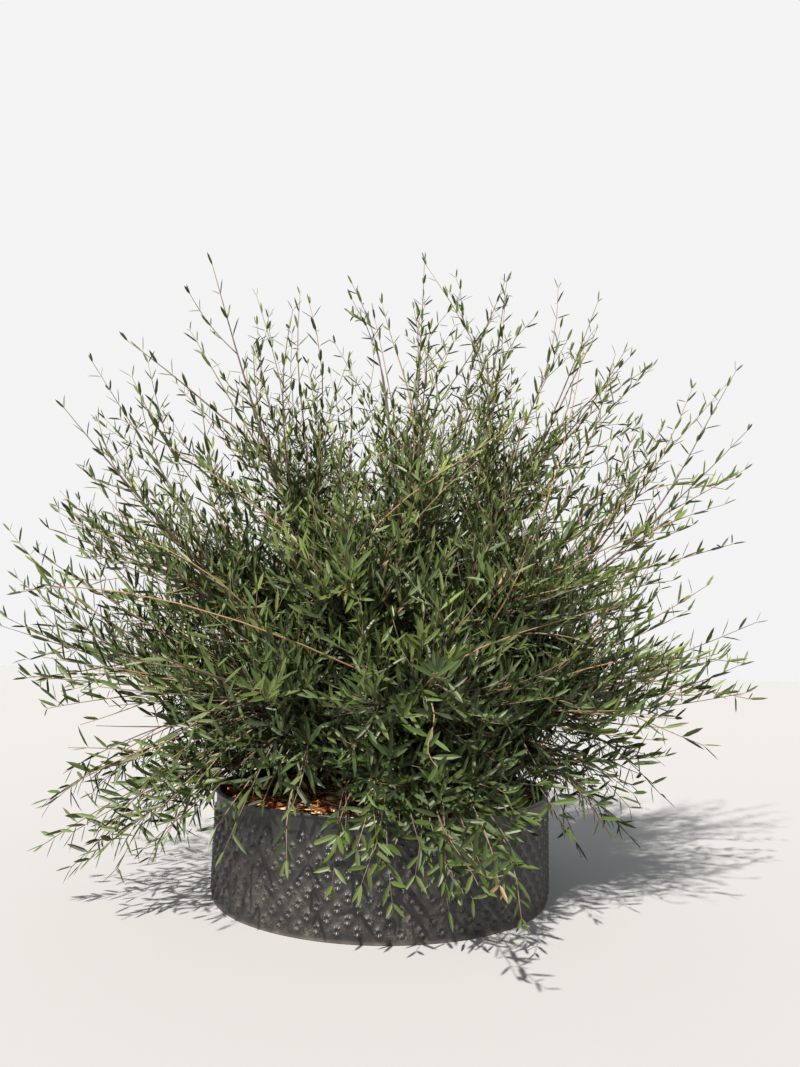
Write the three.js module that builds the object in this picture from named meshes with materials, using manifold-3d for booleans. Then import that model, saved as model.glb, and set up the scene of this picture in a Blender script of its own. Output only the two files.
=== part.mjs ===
// Narrow-leaved mock privet, a multi-stemmed evergreen shrub, growing in a low wide pot.
// The pot is a rolled plastic wall round a separate base disc, filled with bark potting mix.
// A short stool stands on the mix, boughs leave it on all sides, and each bough carries one
// mass of twigs and leaves that keeps to the space nearest its own limb.
// Millimetres, +Z up. The origin is the middle of the pot's flat underside, -Y is the front.

import * as THREE from 'three';
import { mergeVertices } from 'three/addons/utils/BufferGeometryUtils.js';
import Module from 'manifold-3d';

const wasm = await Module();
wasm.setup();

const degree = Math.PI / 180;
const up = new THREE.Vector3(0, 0, 1);

// Clearance between pieces that touch on the real plant
const gap = 0.3;

// Pot
const potRadius = 340;
const potHeight = 206;
const wallThickness = 5;
const lipReach = 3;
const lipHeight = 6;
const floorThickness = 6;
const potSides = 48;

// Potting mix, level in the middle and lower at the wall
const mixEdgeHeight = 186;
const mixCrownHeight = 202;
const mixFlatRadius = 95;

// Stool: the short stem that every bough leaves, swollen into a head at its top
const stoolFootRadius = 84;
const stoolFlareRadius = 62;
const stoolFlareHeight = 6;
const stoolWaistRadius = 45;
const stoolWaistHeight = 30;
const headRadius = 56;
const headHeight = 72;
const headShell = 6;
const stoolSides = 14;
const headCentre = new THREE.Vector3(0, 0, mixCrownHeight + headHeight);

// Crown: every mass grows away from the heart, which lies a little above the stool
const heart = new THREE.Vector3(0, 0, 360);
const massStart = 225;
const denseReach = 640;

// Limbs in tiers, from the top down. Angles are in degrees: the rise above level where the
// mass starts, the lift by which its tip ends higher, and the bearing of the first limb,
// from +X towards the back. A reach is one limb's length from the heart to its furthest tip.
const tiers = [
  { name: 'top', rise: 84, lift: 2, first: 0, reach: [985] },
  { name: 'high', rise: 58, lift: 5, first: 356, reach: [1000, 930, 970, 940, 760] },
  { name: 'shoulder', rise: 32, lift: 6, first: 3, reach: [985, 860, 840, 930, 840, 640, 730] },
  { name: 'middle', rise: 7, lift: 4, first: 180, reach: [790, 660, 560, 650, 800, 760, 780] },
  { name: 'skirt', rise: -11, lift: -14, first: 14, reach: [600, 620, 640, 480] },
];
const tipSway = 8;
const boughPull = 0.35;
const leaderPull = 0.35;
const tipLift = 2.4;

// Boughs
const boughRootRadius = 8;
const boughTipRadius = 4.6;
const boughSides = 5;
const boughSteps = 3;

// Leaders and side twigs. The first fork makes two long whips, the later ones shorter twigs.
const leaderRootRadius = 4.2;
const leaderTipRadius = 1.7;
const leaderSteps = 5;
const twigRootRadius = 2.8;
const twigMiddleRadius = 2.2;
const twigTipRadius = 1.5;
const twigSides = 3;
const collarLength = 14;
const forkAngle = 40;
const forkAngleSpread = 10;
const forkTurnSpread = 0.5;
const firstFork = 26;
const forkSpacing = 146;
const forkOverrun = 60;
const whipForks = 1;
const shortestTwig = 70;
const straightTwig = 220;
const twigShares = [1, 0.78, 0.6];

// Leaves, in opposite pairs, each pair turned a quarter from the last
const leafLength = 124;
const leafWidth = 28;
const tipLeafLength = 84;
const tipLeafWidth = 18;
const leafThickness = 2.4;
const leafAngle = 44;
const pairSpacing = 104;
const whipPairSpacing = 94;
const pairSetback = 0.06;
const widestShare = 0.42;
const leafShares = [1, 0.8, 0.64];

// Core: the closely twigged inner part of a mass, which its leaves stand out of
const coreDistance = 146;
const coreLength = 132;
const coreWidth = 80;
const coreMargin = 18;
const coreUnevenness = 0.3;
const tuftLeaves = 5;
const tuftDepth = 38;
const tuftAngle = 38;

// Least distances from a twig or leaf to the border of its mass's space, to a limb or the
// pot, and to the ground outside the pot
const spaceMargin = 2;
const limbMargin = 4;
const groundClearance = 60;

// A number from 0 to 1 that is always the same for the same seed
function chance(seed) {
  const value = Math.sin(seed * 12.9898) * 43758.5453;
  return value - Math.floor(value);
}

// Directions

function direction(bearing, rise) {
  const level = Math.cos(rise * degree);
  return new THREE.Vector3(
    Math.cos(bearing * degree) * level,
    Math.sin(bearing * degree) * level,
    Math.sin(rise * degree),
  );
}

function perpendicular(axis) {
  const across = axis.clone().cross(up);
  if (across.length() < 0.05) across.set(1, 0, 0);
  return across.addScaledVector(axis, -across.dot(axis)).normalize();
}

// A direction that leans away from an axis by one angle, turned about it by another
function leaning(axis, lean, turn) {
  const side = perpendicular(axis);
  const other = axis.clone().cross(side);
  const out = side.multiplyScalar(Math.cos(turn)).addScaledVector(other, Math.sin(turn));
  return out.multiplyScalar(Math.sin(lean)).addScaledVector(axis, Math.cos(lean));
}

// Closed geometry and solids

function closedGeometry(points, triangles) {
  const geometry = new THREE.BufferGeometry();
  const numbers = points.flatMap((point) => point.toArray());
  geometry.setAttribute('position', new THREE.Float32BufferAttribute(numbers, 3));
  geometry.setIndex(triangles.flat());
  return geometry;
}

function toSolid(geometry) {
  geometry.deleteAttribute('normal');
  geometry.deleteAttribute('uv');
  const merged = mergeVertices(geometry, 1e-4);
  const mesh = new wasm.Mesh({
    numProp: 3,
    vertProperties: new Float32Array(merged.attributes.position.array),
    triVerts: new Uint32Array(merged.index.array),
  });
  return new wasm.Manifold(mesh);
}

function toGeometry(solid) {
  const mesh = solid.getMesh();
  const geometry = new THREE.BufferGeometry();
  geometry.setAttribute('position', new THREE.BufferAttribute(new Float32Array(mesh.vertProperties), 3));
  geometry.setIndex(new THREE.BufferAttribute(new Uint32Array(mesh.triVerts), 1));
  return geometry;
}

// Join the parts of a mass, keep the one connected body and fill any sealed hollow
function fuse(parts) {
  const joined = wasm.Manifold.union(parts.map(toSolid));
  const bodies = joined.decompose();
  bodies.sort((a, b) => b.volume() - a.volume());
  return toGeometry(bodies[0]);
}

function turned(outline, sides) {
  const profile = outline.map(([radius, height]) => new THREE.Vector2(radius, height));
  const shape = new THREE.LatheGeometry(profile, sides);
  shape.rotateX(Math.PI / 2);
  return toSolid(shape);
}

// A tapering limb: rings of corners carried along a path. Its ends are flat, square to the
// directions given or else to the path, unless an apex is given, to which it then narrows.
function limbGeometry(path, radii, sides, { startAlong, endAlong, apex } = {}) {
  const points = [];
  const triangles = [];
  const last = path.length - 1;
  let side = null;
  path.forEach((centre, i) => {
    let along = path[Math.min(i + 1, last)].clone().sub(path[Math.max(i - 1, 0)]).normalize();
    if (i === 0 && startAlong) along = startAlong;
    if (i === last && endAlong) along = endAlong;
    side = side ? side.addScaledVector(along, -side.dot(along)).normalize() : perpendicular(along);
    const other = along.clone().cross(side);
    for (let k = 0; k < sides; k += 1) {
      const turn = (2 * Math.PI * k) / sides;
      const corner = centre.clone().addScaledVector(side, radii[i] * Math.cos(turn));
      points.push(corner.addScaledVector(other, radii[i] * Math.sin(turn)));
    }
  });
  for (let i = 0; i < last; i += 1) {
    for (let k = 0; k < sides; k += 1) {
      const a = i * sides + k;
      const b = i * sides + ((k + 1) % sides);
      triangles.push([a, b, a + sides], [b, b + sides, a + sides]);
    }
  }
  const end = last * sides;
  for (let k = 1; k < sides - 1; k += 1) {
    triangles.push([end, end + k, end + k + 1]);
    if (!apex) triangles.push([0, k + 1, k]);
  }
  if (apex) {
    for (let k = 0; k < sides; k += 1) triangles.push([points.length, (k + 1) % sides, k]);
    points.push(apex);
  }
  return closedGeometry(points, triangles);
}

// A leaf is a long lozenge with a flat back and a ridge along its face, rooted in the
// middle of its twig
function leafGeometry(root, along, across, length, width) {
  const face = along.clone().cross(across).normalize();
  const middle = root.clone().addScaledVector(along, length * widestShare);
  const points = [
    root.clone(),
    root.clone().addScaledVector(along, length),
    middle.clone().addScaledVector(across, width / 2),
    middle.clone().addScaledVector(across, -width / 2),
    middle.clone().addScaledVector(face, leafThickness),
  ];
  const triangles = [[0, 4, 2], [4, 1, 2], [0, 3, 4], [4, 3, 1], [0, 2, 3], [1, 3, 2]];
  return closedGeometry(points, triangles);
}

// Limbs: a bough from the stool to where its mass starts, then that mass's leader

function planLimb(tier, place, index) {
  const bearing = tier.first + (360 * place) / tier.reach.length;
  const sway = tipSway * (chance(index * 10 + 1) - 0.5);
  const along = direction(bearing, tier.rise);
  const start = heart.clone().addScaledVector(along, massStart);
  const tip = heart.clone();
  tip.addScaledVector(direction(bearing + sway, tier.rise + tier.lift), tier.reach[place]);

  const root = start.clone().sub(headCentre).normalize();
  const foot = headCentre.clone().addScaledVector(root, headRadius + gap);
  const span = start.distanceTo(foot);
  const bough = new THREE.CubicBezierCurve3(
    foot,
    foot.clone().addScaledVector(root, boughPull * span),
    start.clone().addScaledVector(along, -boughPull * span),
    start,
  );

  const leaderFoot = start.clone().addScaledVector(along, gap);
  const length = tip.distanceTo(leaderFoot);
  const tipAlong = direction(bearing + sway, tier.rise + tipLift * tier.lift);
  const leader = new THREE.CubicBezierCurve3(
    leaderFoot,
    leaderFoot.clone().addScaledVector(along, leaderPull * length),
    tip.clone().addScaledVector(tipAlong, -leaderPull * length),
    tip,
  );
  const name = tier.reach.length > 1 ? `${tier.name}_${place + 1}` : tier.name;
  const axis = [foot, start, leader.getPoint(0.5), tip];
  return { name, index, root, along, bough, leader, length, axis };
}

const limbs = [];
for (const tier of tiers) {
  tier.reach.forEach((_, place) => limbs.push(planLimb(tier, place, limbs.length)));
}

// Spaces: a point belongs to the mass whose limb is nearest

function distanceToSegment(point, a, b) {
  const line = b.clone().sub(a);
  const share = THREE.MathUtils.clamp(point.clone().sub(a).dot(line) / line.lengthSq(), 0, 1);
  return point.distanceTo(a.clone().addScaledVector(line, share));
}

function distanceToLimb(point, limb) {
  let nearest = Infinity;
  for (let i = 0; i < limb.axis.length - 1; i += 1) {
    nearest = Math.min(nearest, distanceToSegment(point, limb.axis[i], limb.axis[i + 1]));
  }
  return nearest;
}

// Half the difference between the distances to the nearest other limb and to its own is how
// far a point lies inside its space
function depthInSpace(point, limb) {
  let other = Infinity;
  for (const rival of limbs) {
    if (rival !== limb) other = Math.min(other, distanceToLimb(point, rival));
  }
  return (other - distanceToLimb(point, limb)) / 2;
}

function clearOfPot(point, radius) {
  const overPot = Math.hypot(point.x, point.y) < potRadius + lipReach + radius + limbMargin;
  return point.z > radius + (overPot ? potHeight + limbMargin : groundClearance);
}

function clearOfBough(point, limb, radius) {
  return distanceToSegment(point, limb.axis[0], limb.axis[1]) > boughRootRadius + radius + limbMargin;
}

function leafFits(limb, root, along, across, length, width) {
  return [0.2, widestShare, 0.7, 1].every((share) => {
    const taper = share < widestShare ? share / widestShare : (1 - share) / (1 - widestShare);
    return [-0.5, 0.5].every((side) => {
      const point = root.clone().addScaledVector(along, length * share);
      point.addScaledVector(across, side * width * taper);
      const inside = depthInSpace(point, limb) > spaceMargin;
      return inside && clearOfPot(point, 0) && clearOfBough(point, limb, 0);
    });
  });
}

function twigFits(limb, path) {
  return path.slice(1).every((point) => {
    const inside = depthInSpace(point, limb) > twigRootRadius + spaceMargin;
    return inside && clearOfPot(point, twigRootRadius);
  });
}

// Growth: leader, opposite pairs of side twigs, opposite pairs of leaves

function addLeaf(parts, limb, root, along, twigAlong, length, width) {
  const across = twigAlong.clone().cross(along).normalize();
  const share = leafShares.find((s) => leafFits(limb, root, along, across, length * s, width * s));
  if (share) parts.push(leafGeometry(root, along, across, length * share, width * share));
}

function addLeafPair(parts, limb, root, twigAlong, turn, length, width) {
  for (const half of [0, Math.PI]) {
    const along = leaning(twigAlong, leafAngle * degree, turn + half);
    addLeaf(parts, limb, root, along, twigAlong, length, width);
  }
}

// A side twig starts as a point in the middle of its leader, swells just outside it, and
// where it is long bends a little towards the way the leader runs
function addTwig(parts, limb, foot, along, leaderAlong, wanted, seed) {
  for (const share of twigShares) {
    const length = wanted * share;
    const middle = foot.clone().addScaledVector(along, length / 2);
    const tip = foot.clone().addScaledVector(along, length * 0.9).addScaledVector(leaderAlong, length * 0.14);
    if (length > shortestTwig && twigFits(limb, [foot, middle, tip])) {
      const bent = length > straightTwig;
      const collar = foot.clone().addScaledVector(along, collarLength);
      const path = bent ? [collar, middle, tip] : [collar, tip];
      const radii = bent ? [twigRootRadius, twigMiddleRadius, twigTipRadius] : [twigRootRadius, twigTipRadius];
      parts.push(limbGeometry(path, radii, twigSides, { apex: foot }));
      const line = new THREE.CurvePath();
      [foot, ...path.slice(1)].reduce((a, b) => {
        line.add(new THREE.LineCurve3(a, b));
        return b;
      });
      const pairs = Math.max(1, Math.round(length / pairSpacing) - 1);
      for (let k = 0; k < pairs; k += 1) {
        const place = 1 - pairSetback - (k * pairSpacing) / length;
        const turn = chance(seed) * Math.PI + (k * Math.PI) / 2;
        addLeafPair(parts, limb, line.getPoint(place), line.getTangent(place), turn, leafLength, leafWidth);
      }
      return;
    }
  }
}

function addForks(parts, limb, forks) {
  for (let k = 0; k < forks; k += 1) {
    const distance = firstFork + k * forkSpacing;
    const foot = limb.leader.getPoint(distance / limb.length);
    const leaderAlong = limb.leader.getTangent(distance / limb.length);
    const turn = (k % 2) * (Math.PI / 2) + forkTurnSpread * (chance(limb.index * 100 + k) - 0.5);
    for (const half of [0, 1]) {
      const seed = limb.index * 100 + k * 2 + half + 20;
      const angle = (forkAngle + forkAngleSpread * (chance(seed) - 0.5)) * degree;
      const along = leaning(leaderAlong, angle, turn + half * Math.PI);
      const twig = (denseReach - massStart - distance) * (0.9 + 0.25 * chance(seed + 0.5));
      const whip = (limb.length - distance) * (0.8 + 0.15 * chance(seed + 0.7));
      const wanted = Math.max(k < whipForks ? whip : twig, shortestTwig + 8);
      addTwig(parts, limb, foot, along, leaderAlong, wanted, seed + 0.3);
    }
  }
}

function addLeaderLeaves(parts, limb, bareLength) {
  const pairs = Math.max(1, Math.floor((limb.length - bareLength) / whipPairSpacing));
  for (let k = 0; k < pairs; k += 1) {
    const share = 1 - (k * whipPairSpacing + 12) / limb.length;
    const turn = (k * Math.PI) / 2 + chance(limb.index + 0.4) * 3;
    const size = k === 0 ? 0 : 0.6;
    const length = THREE.MathUtils.lerp(tipLeafLength, leafLength, size);
    const width = THREE.MathUtils.lerp(tipLeafWidth, leafWidth, size);
    addLeafPair(parts, limb, limb.leader.getPoint(share), limb.leader.getTangent(share), turn, length, width);
  }
}

// The core is an uneven lump on the leader, pulled in wherever it would leave the space
function coreGeometry(limb, centre, along) {
  const side = perpendicular(along);
  const other = along.clone().cross(side);
  const lump = new THREE.OctahedronGeometry(1, 1);
  lump.deleteAttribute('normal');
  lump.deleteAttribute('uv');
  const core = mergeVertices(lump, 1e-4);
  const position = core.attributes.position;
  for (let i = 0; i < position.count; i += 1) {
    const unit = new THREE.Vector3().fromBufferAttribute(position, i).normalize();
    const ray = along.clone().multiplyScalar(unit.z * coreLength);
    ray.addScaledVector(side, unit.x * coreWidth).addScaledVector(other, unit.y * coreWidth);
    let reach = 1 + coreUnevenness * (chance(limb.index * 50 + i) - 0.5);
    const point = centre.clone().addScaledVector(ray, reach);
    while (reach > 0.1 && !coreFits(limb, point)) {
      reach -= 0.04;
      point.copy(centre).addScaledVector(ray, reach);
    }
    position.setXYZ(i, point.x, point.y, point.z);
  }
  return core;
}

function coreFits(limb, point) {
  const inside = depthInSpace(point, limb) > coreMargin;
  return inside && clearOfPot(point, coreMargin) && clearOfBough(point, limb, coreMargin);
}

// Leaves that stand out of the core, rooted under its skin all round its axis
function addTuft(parts, limb, centre, along) {
  for (let k = 0; k < tuftLeaves; k += 1) {
    const turn = (2 * Math.PI * (k + chance(limb.index * 30 + k))) / tuftLeaves;
    const root = centre.clone().addScaledVector(leaning(along, Math.PI / 2, turn), tuftDepth);
    addLeaf(parts, limb, root, leaning(along, tuftAngle * degree, turn), along, leafLength, leafWidth);
  }
}

function massGeometry(limb) {
  const path = limb.leader.getPoints(leaderSteps);
  const radii = path.map((_, i) => THREE.MathUtils.lerp(leaderRootRadius, leaderTipRadius, i / leaderSteps));
  const parts = [limbGeometry(path, radii, twigSides, { startAlong: limb.along })];
  const forked = Math.min(limb.length, denseReach - massStart + forkOverrun) - firstFork;
  const forks = Math.floor(forked / forkSpacing) + 1;
  addForks(parts, limb, forks);
  addLeaderLeaves(parts, limb, firstFork + (forks - 1) * forkSpacing);
  const centre = limb.leader.getPoint(coreDistance / limb.length);
  const along = limb.leader.getTangent(coreDistance / limb.length);
  parts.push(coreGeometry(limb, centre, along));
  addTuft(parts, limb, centre, along);
  return fuse(parts);
}

function boughGeometry(limb) {
  const path = limb.bough.getPoints(boughSteps);
  const radii = path.map((_, i) => THREE.MathUtils.lerp(boughRootRadius, boughTipRadius, i / boughSteps));
  return limbGeometry(path, radii, boughSides, { startAlong: limb.root, endAlong: limb.along });
}

// Pot, mix and stool

const innerRadius = potRadius - wallThickness;

function potWallGeometry() {
  return toGeometry(turned([
    [innerRadius, 0],
    [potRadius, 0],
    [potRadius, potHeight - lipHeight],
    [potRadius + lipReach, potHeight - lipHeight],
    [potRadius + lipReach, potHeight],
    [innerRadius, potHeight],
    [innerRadius, 0],
  ], potSides));
}

function potFloorGeometry() {
  const radius = innerRadius - gap;
  return toGeometry(turned([[0, 0], [radius, 0], [radius, floorThickness], [0, floorThickness]], potSides));
}

function mixGeometry() {
  const radius = innerRadius - gap;
  return toGeometry(turned([
    [0, floorThickness + gap],
    [radius, floorThickness + gap],
    [radius, mixEdgeHeight],
    [mixFlatRadius, mixCrownHeight],
    [0, mixCrownHeight],
  ], potSides));
}

// The head is cut to one flat pad square to each bough
function stoolGeometry() {
  const foot = mixCrownHeight + gap;
  const swell = headRadius + headShell;
  let stool = turned([
    [0, foot],
    [stoolFootRadius, foot],
    [stoolFlareRadius, foot + stoolFlareHeight],
    [stoolWaistRadius, foot + stoolWaistHeight],
    [swell * 0.93, headCentre.z - 20],
    [swell, headCentre.z + 10],
    [swell, headCentre.z + swell],
    [0, headCentre.z + swell],
  ], stoolSides);
  for (const limb of limbs) {
    const inward = limb.root.clone().negate();
    stool = stool.trimByPlane(inward.toArray(), inward.dot(headCentre) - headRadius);
  }
  return toGeometry(stool);
}

// Materials

const blackPlastic = new THREE.MeshStandardMaterial({ color: 0x24211f, roughness: 0.55, metalness: 0 });
const barkMix = new THREE.MeshStandardMaterial({ color: 0x7a5236, roughness: 0.95, metalness: 0 });
const bark = new THREE.MeshStandardMaterial({ color: 0x7d6455, roughness: 0.85, metalness: 0 });
const foliage = new THREE.MeshStandardMaterial({ color: 0x42592f, roughness: 0.5, metalness: 0 });

// The plant in its pot

const shrub = new THREE.Group();

function addNode(name, geometry, material) {
  const mesh = new THREE.Mesh(geometry, material);
  mesh.name = name;
  shrub.add(mesh);
}

addNode('pot_wall', potWallGeometry(), blackPlastic);
addNode('pot_floor', potFloorGeometry(), blackPlastic);
addNode('potting_mix', mixGeometry(), barkMix);
addNode('stool', stoolGeometry(), bark);
for (const limb of limbs) {
  addNode(`bough_${limb.name}`, boughGeometry(limb), bark);
  addNode(`foliage_${limb.name}`, massGeometry(limb), foliage);
}

export default shrub;
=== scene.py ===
# %% [markdown]
# # A potted narrow-leaved mock privet
#
# The real thing is an evergreen shrub about 1.6 m across, grown in a low wide nursery
# pot. Many thin stems leave one short stool, arch outwards and carry pairs of narrow
# leaves all the way to their tips. The pot is a strip of black plastic sheet, pressed
# with rows of small rosettes and rolled round a base disc, and it is filled with
# composted bark.
#
# The construction model holds the true places of the pot, the stool, the boughs and the
# masses of foliage. This lesson dresses it: every mass becomes twigs and leaves, grown
# by the same rule that placed the masses and carried on to finer shoots. Everything is
# in metres, with +Z up and -Y towards the viewer.

# %% Load the fixed frame
from collections import namedtuple

import bpy
import numpy as np
from mathutils import Matrix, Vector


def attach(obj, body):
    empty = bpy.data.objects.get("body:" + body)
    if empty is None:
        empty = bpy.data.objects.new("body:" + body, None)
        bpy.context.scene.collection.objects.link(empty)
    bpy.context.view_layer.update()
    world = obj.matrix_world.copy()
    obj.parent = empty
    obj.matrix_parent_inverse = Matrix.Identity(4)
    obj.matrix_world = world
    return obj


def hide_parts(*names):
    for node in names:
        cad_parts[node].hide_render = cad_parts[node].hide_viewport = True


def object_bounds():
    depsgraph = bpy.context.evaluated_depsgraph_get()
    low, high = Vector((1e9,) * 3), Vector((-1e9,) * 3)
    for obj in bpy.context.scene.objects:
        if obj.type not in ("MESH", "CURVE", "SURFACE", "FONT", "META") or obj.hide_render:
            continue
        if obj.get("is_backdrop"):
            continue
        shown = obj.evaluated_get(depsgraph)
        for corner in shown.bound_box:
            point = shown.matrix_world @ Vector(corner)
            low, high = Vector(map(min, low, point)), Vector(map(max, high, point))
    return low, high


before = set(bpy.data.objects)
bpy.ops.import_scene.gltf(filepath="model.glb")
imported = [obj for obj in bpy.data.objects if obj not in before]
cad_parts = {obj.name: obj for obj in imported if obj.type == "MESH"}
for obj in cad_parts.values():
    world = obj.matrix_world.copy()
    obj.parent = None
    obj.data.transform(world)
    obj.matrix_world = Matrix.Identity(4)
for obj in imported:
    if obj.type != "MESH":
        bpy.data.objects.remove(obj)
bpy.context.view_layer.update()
MM = 0.001

# %% [markdown]
# ## Camera and light
#
# The photograph was taken from about half a metre up, close to the plant, with the lens
# tipped up by some eight degrees, so the far rim of the pot is hidden and the sides of the
# crown lean outwards. A camera could be aimed at a target with a constraint, but three
# turns written as one matrix are plainer: first the roll of the hand, then the tip
# upwards, then the small turn to the right.

# %% Camera
LENS = 28.0
CAMERA_PLACE = (0.0, -1.80, 0.49)
TURN_RIGHT, TIP_UP, ROLL = np.radians([0.83, 7.9, 1.2])


def in_scene(name, data):
    """A new object that holds the data, linked into the scene."""
    made = bpy.data.objects.new(name, data)
    bpy.context.scene.collection.objects.link(made)
    return made


camera = in_scene("camera", bpy.data.cameras.new("camera"))
camera.data.lens = LENS
camera.matrix_world = (
    Matrix.Translation(CAMERA_PLACE)
    @ Matrix.Rotation(-TURN_RIGHT, 4, "Z")
    @ Matrix.Rotation(np.pi / 2 + TIP_UP, 4, "X")
    @ Matrix.Rotation(ROLL, 4, "Z")
)
bpy.context.scene.camera = camera
print("camera at", CAMERA_PLACE, "with a", LENS, "mm lens")

# %% [markdown]
# Every material here is a small graph of nodes, or one plain colour. Four helpers are
# enough for them: one turns the colours that a painter would pick from a screen into the
# linear values that a renderer adds up, one fills a node's inputs, one adds a node, and
# one makes a material.

# %% Helpers for colours, nodes and materials
def linear(hex_colour):
    """sRGB to linear light: c/12.92 when c is small, else ((c + 0.055) / 1.055) ** 2.4."""
    srgb = np.array([int(hex_colour[i:i + 2], 16) for i in (1, 3, 5)]) / 255
    light = np.where(srgb <= 0.04045, srgb / 12.92, ((srgb + 0.055) / 1.055) ** 2.4)
    return (*light.tolist(), 1.0)


def set_inputs(node, **inputs):
    """Give each input its value, or link it to an output socket. _0 is the first input."""
    for name, value in inputs.items():
        socket = node.inputs[int(name[1:]) if name[1:].isdigit() else name.replace("_", " ")]
        if isinstance(value, bpy.types.NodeSocket):
            node.id_data.links.new(value, socket)
        else:
            socket.default_value = value


def add_node(tree, kind, settings=None, stops=(), **inputs):
    """One shader node with its settings, its inputs and, for a colour ramp, its stops as
    (place, sRGB hex)."""
    node = tree.nodes.new("ShaderNode" + kind)
    for name, value in (settings or {}).items():
        setattr(node, name, value)
    for position, _ in stops[:-2]:
        node.color_ramp.elements.new(position)
    for k, (position, colour) in enumerate(stops):
        node.color_ramp.elements[k].position = position
        node.color_ramp.elements[k].color = linear(colour)
    set_inputs(node, **inputs)
    return node


def new_material(name, **inputs):
    """A material, its tree and its Principled shader, with the shader's inputs set."""
    material = bpy.data.materials.new(name)
    material.use_nodes = True
    shader = material.node_tree.nodes["Principled BSDF"]
    set_inputs(shader, **inputs)
    return material, material.node_tree, shader


# %% [markdown]
# In the photograph the sun stands high on the left, behind the viewer's shoulder: each
# leaf drops its shadow down and to the right on the pot. A sun lamp a degree and a half
# wide, three times the real sun, keeps those shadows readable and softens their edges a
# little. A sky that is pale at the horizon and deeper overhead fills the shadows. An image
# of a real sky would be another way, but two colours are enough on a plain pale floor.

# %% Sun, sky and floor
SUN_FROM = np.array([-0.42, -0.78, 0.95])
SUN_WIDTH = np.radians(1.5)
SUN_STRENGTH, SKY_STRENGTH = 10.6, 0.95
FLOOR_SPAN = 30.0

sun = in_scene("sun", bpy.data.lights.new("sun", "SUN"))
sun.data.energy = SUN_STRENGTH
sun.data.angle = SUN_WIDTH
sun.data.color = linear("#fff8ee")[:3]
tilt = np.arccos(SUN_FROM[2] / np.linalg.norm(SUN_FROM))
around = np.arctan2(SUN_FROM[1], SUN_FROM[0])
sun.matrix_world = Matrix.Rotation(around, 4, "Z") @ Matrix.Rotation(tilt, 4, "Y")

world = bpy.data.worlds.new("pale sky")
world.use_nodes = True
sky = world.node_tree
view = add_node(sky, "TexCoord").outputs["Generated"]
upwards = add_node(sky, "SeparateXYZ", Vector=view).outputs["Z"]
sky_colour = add_node(sky, "ValToRGB", stops=[(0.66, "#f9f9f9"), (0.88, "#74777a")], Fac=upwards)
set_inputs(sky.nodes["Background"], Color=sky_colour.outputs["Color"], Strength=SKY_STRENGTH)
bpy.context.scene.world = world
bpy.context.scene.view_settings.view_transform = "Standard"

half = FLOOR_SPAN / 2
floor_corners = [(-half, -half, 0), (half, -half, 0), (half, half, 0), (-half, half, 0)]
floor_mesh = bpy.data.meshes.new("floor")
floor_mesh.from_pydata(floor_corners, [], [(0, 1, 2, 3)])
floor_paint = new_material("matt pale floor paint", Base_Color=linear("#8f9092"), Roughness=0.9)
floor_mesh.materials.append(floor_paint[0])
floor = in_scene("floor", floor_mesh)
floor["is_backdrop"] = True
print("sun from", SUN_FROM, "and a floor", FLOOR_SPAN, "m wide")

# %% [markdown]
# ## Meshes from whole arrays
#
# Every piece below is worked out with numpy as arrays of points and faces, and handed to
# Blender in one go. That is much faster than adding vertices one by one, and the shape
# stays readable as a formula. A mesh is a pair here: its points, and a list of face
# arrays. Each new piece rides on the one body of the model.

# %% Helpers for meshes
def mesh_piece(name, points, faces, slot, materials, tones=None, smooth=True):
    """One piece from points (n, 3) and a list of face arrays (m, corners a face)."""
    corners = np.concatenate([face.ravel() for face in faces]).astype(np.int32)
    sizes = np.concatenate([np.full(len(face), face.shape[1]) for face in faces])
    starts = np.concatenate([[0], np.cumsum(sizes)[:-1]]).astype(np.int32)
    mesh = bpy.data.meshes.new(name)
    mesh.vertices.add(len(points))
    mesh.vertices.foreach_set("co", np.asarray(points, np.float32).ravel())
    mesh.loops.add(len(corners))
    mesh.loops.foreach_set("vertex_index", corners)
    mesh.polygons.add(len(sizes))
    mesh.polygons.foreach_set("loop_start", starts)
    mesh.polygons.foreach_set("use_smooth", np.full(len(sizes), smooth))
    for material in materials:
        mesh.materials.append(material)
    if tones is not None:
        mesh.polygons.foreach_set("material_index", np.asarray(tones, np.int32))
    mesh.update(calc_edges=True)
    piece = in_scene(name, mesh)
    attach(piece, "root")
    low, high = np.round(points.min(axis=0), 3), np.round(points.max(axis=0), 3)
    print(f"{name}: {(sizes - 2).sum()} triangles, {low} to {high}")
    return piece


def every(*ranges):
    """Every combination of the ranges' numbers, as one flat array for each range."""
    return [grid.ravel() for grid in np.meshgrid(*ranges, indexing="ij")]


def grid_faces(rows, columns):
    """Faces between neighbouring rows of a grid, with each row closed into a ring."""
    row, column = every(np.arange(rows - 1), np.arange(columns))
    a, b = row * columns + column, row * columns + (column + 1) % columns
    return np.stack([a, b, b + columns, a + columns], axis=-1)


def copies(points, *faces):
    """One mesh of many copies (copies, points each, 3) that all have the same faces."""
    first = (np.arange(len(points)) * points.shape[1])[:, None, None]
    return points.reshape(-1, 3), [(first + face).reshape(-1, face.shape[1]) for face in faces]


def stacked(*meshes):
    """Several meshes as one: the faces of each count on from the points before it."""
    first = np.cumsum([0] + [len(points) for points, _ in meshes])
    faces = [face + start for (_, some), start in zip(meshes, first) for face in some]
    return np.concatenate([points for points, _ in meshes]), faces


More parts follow.
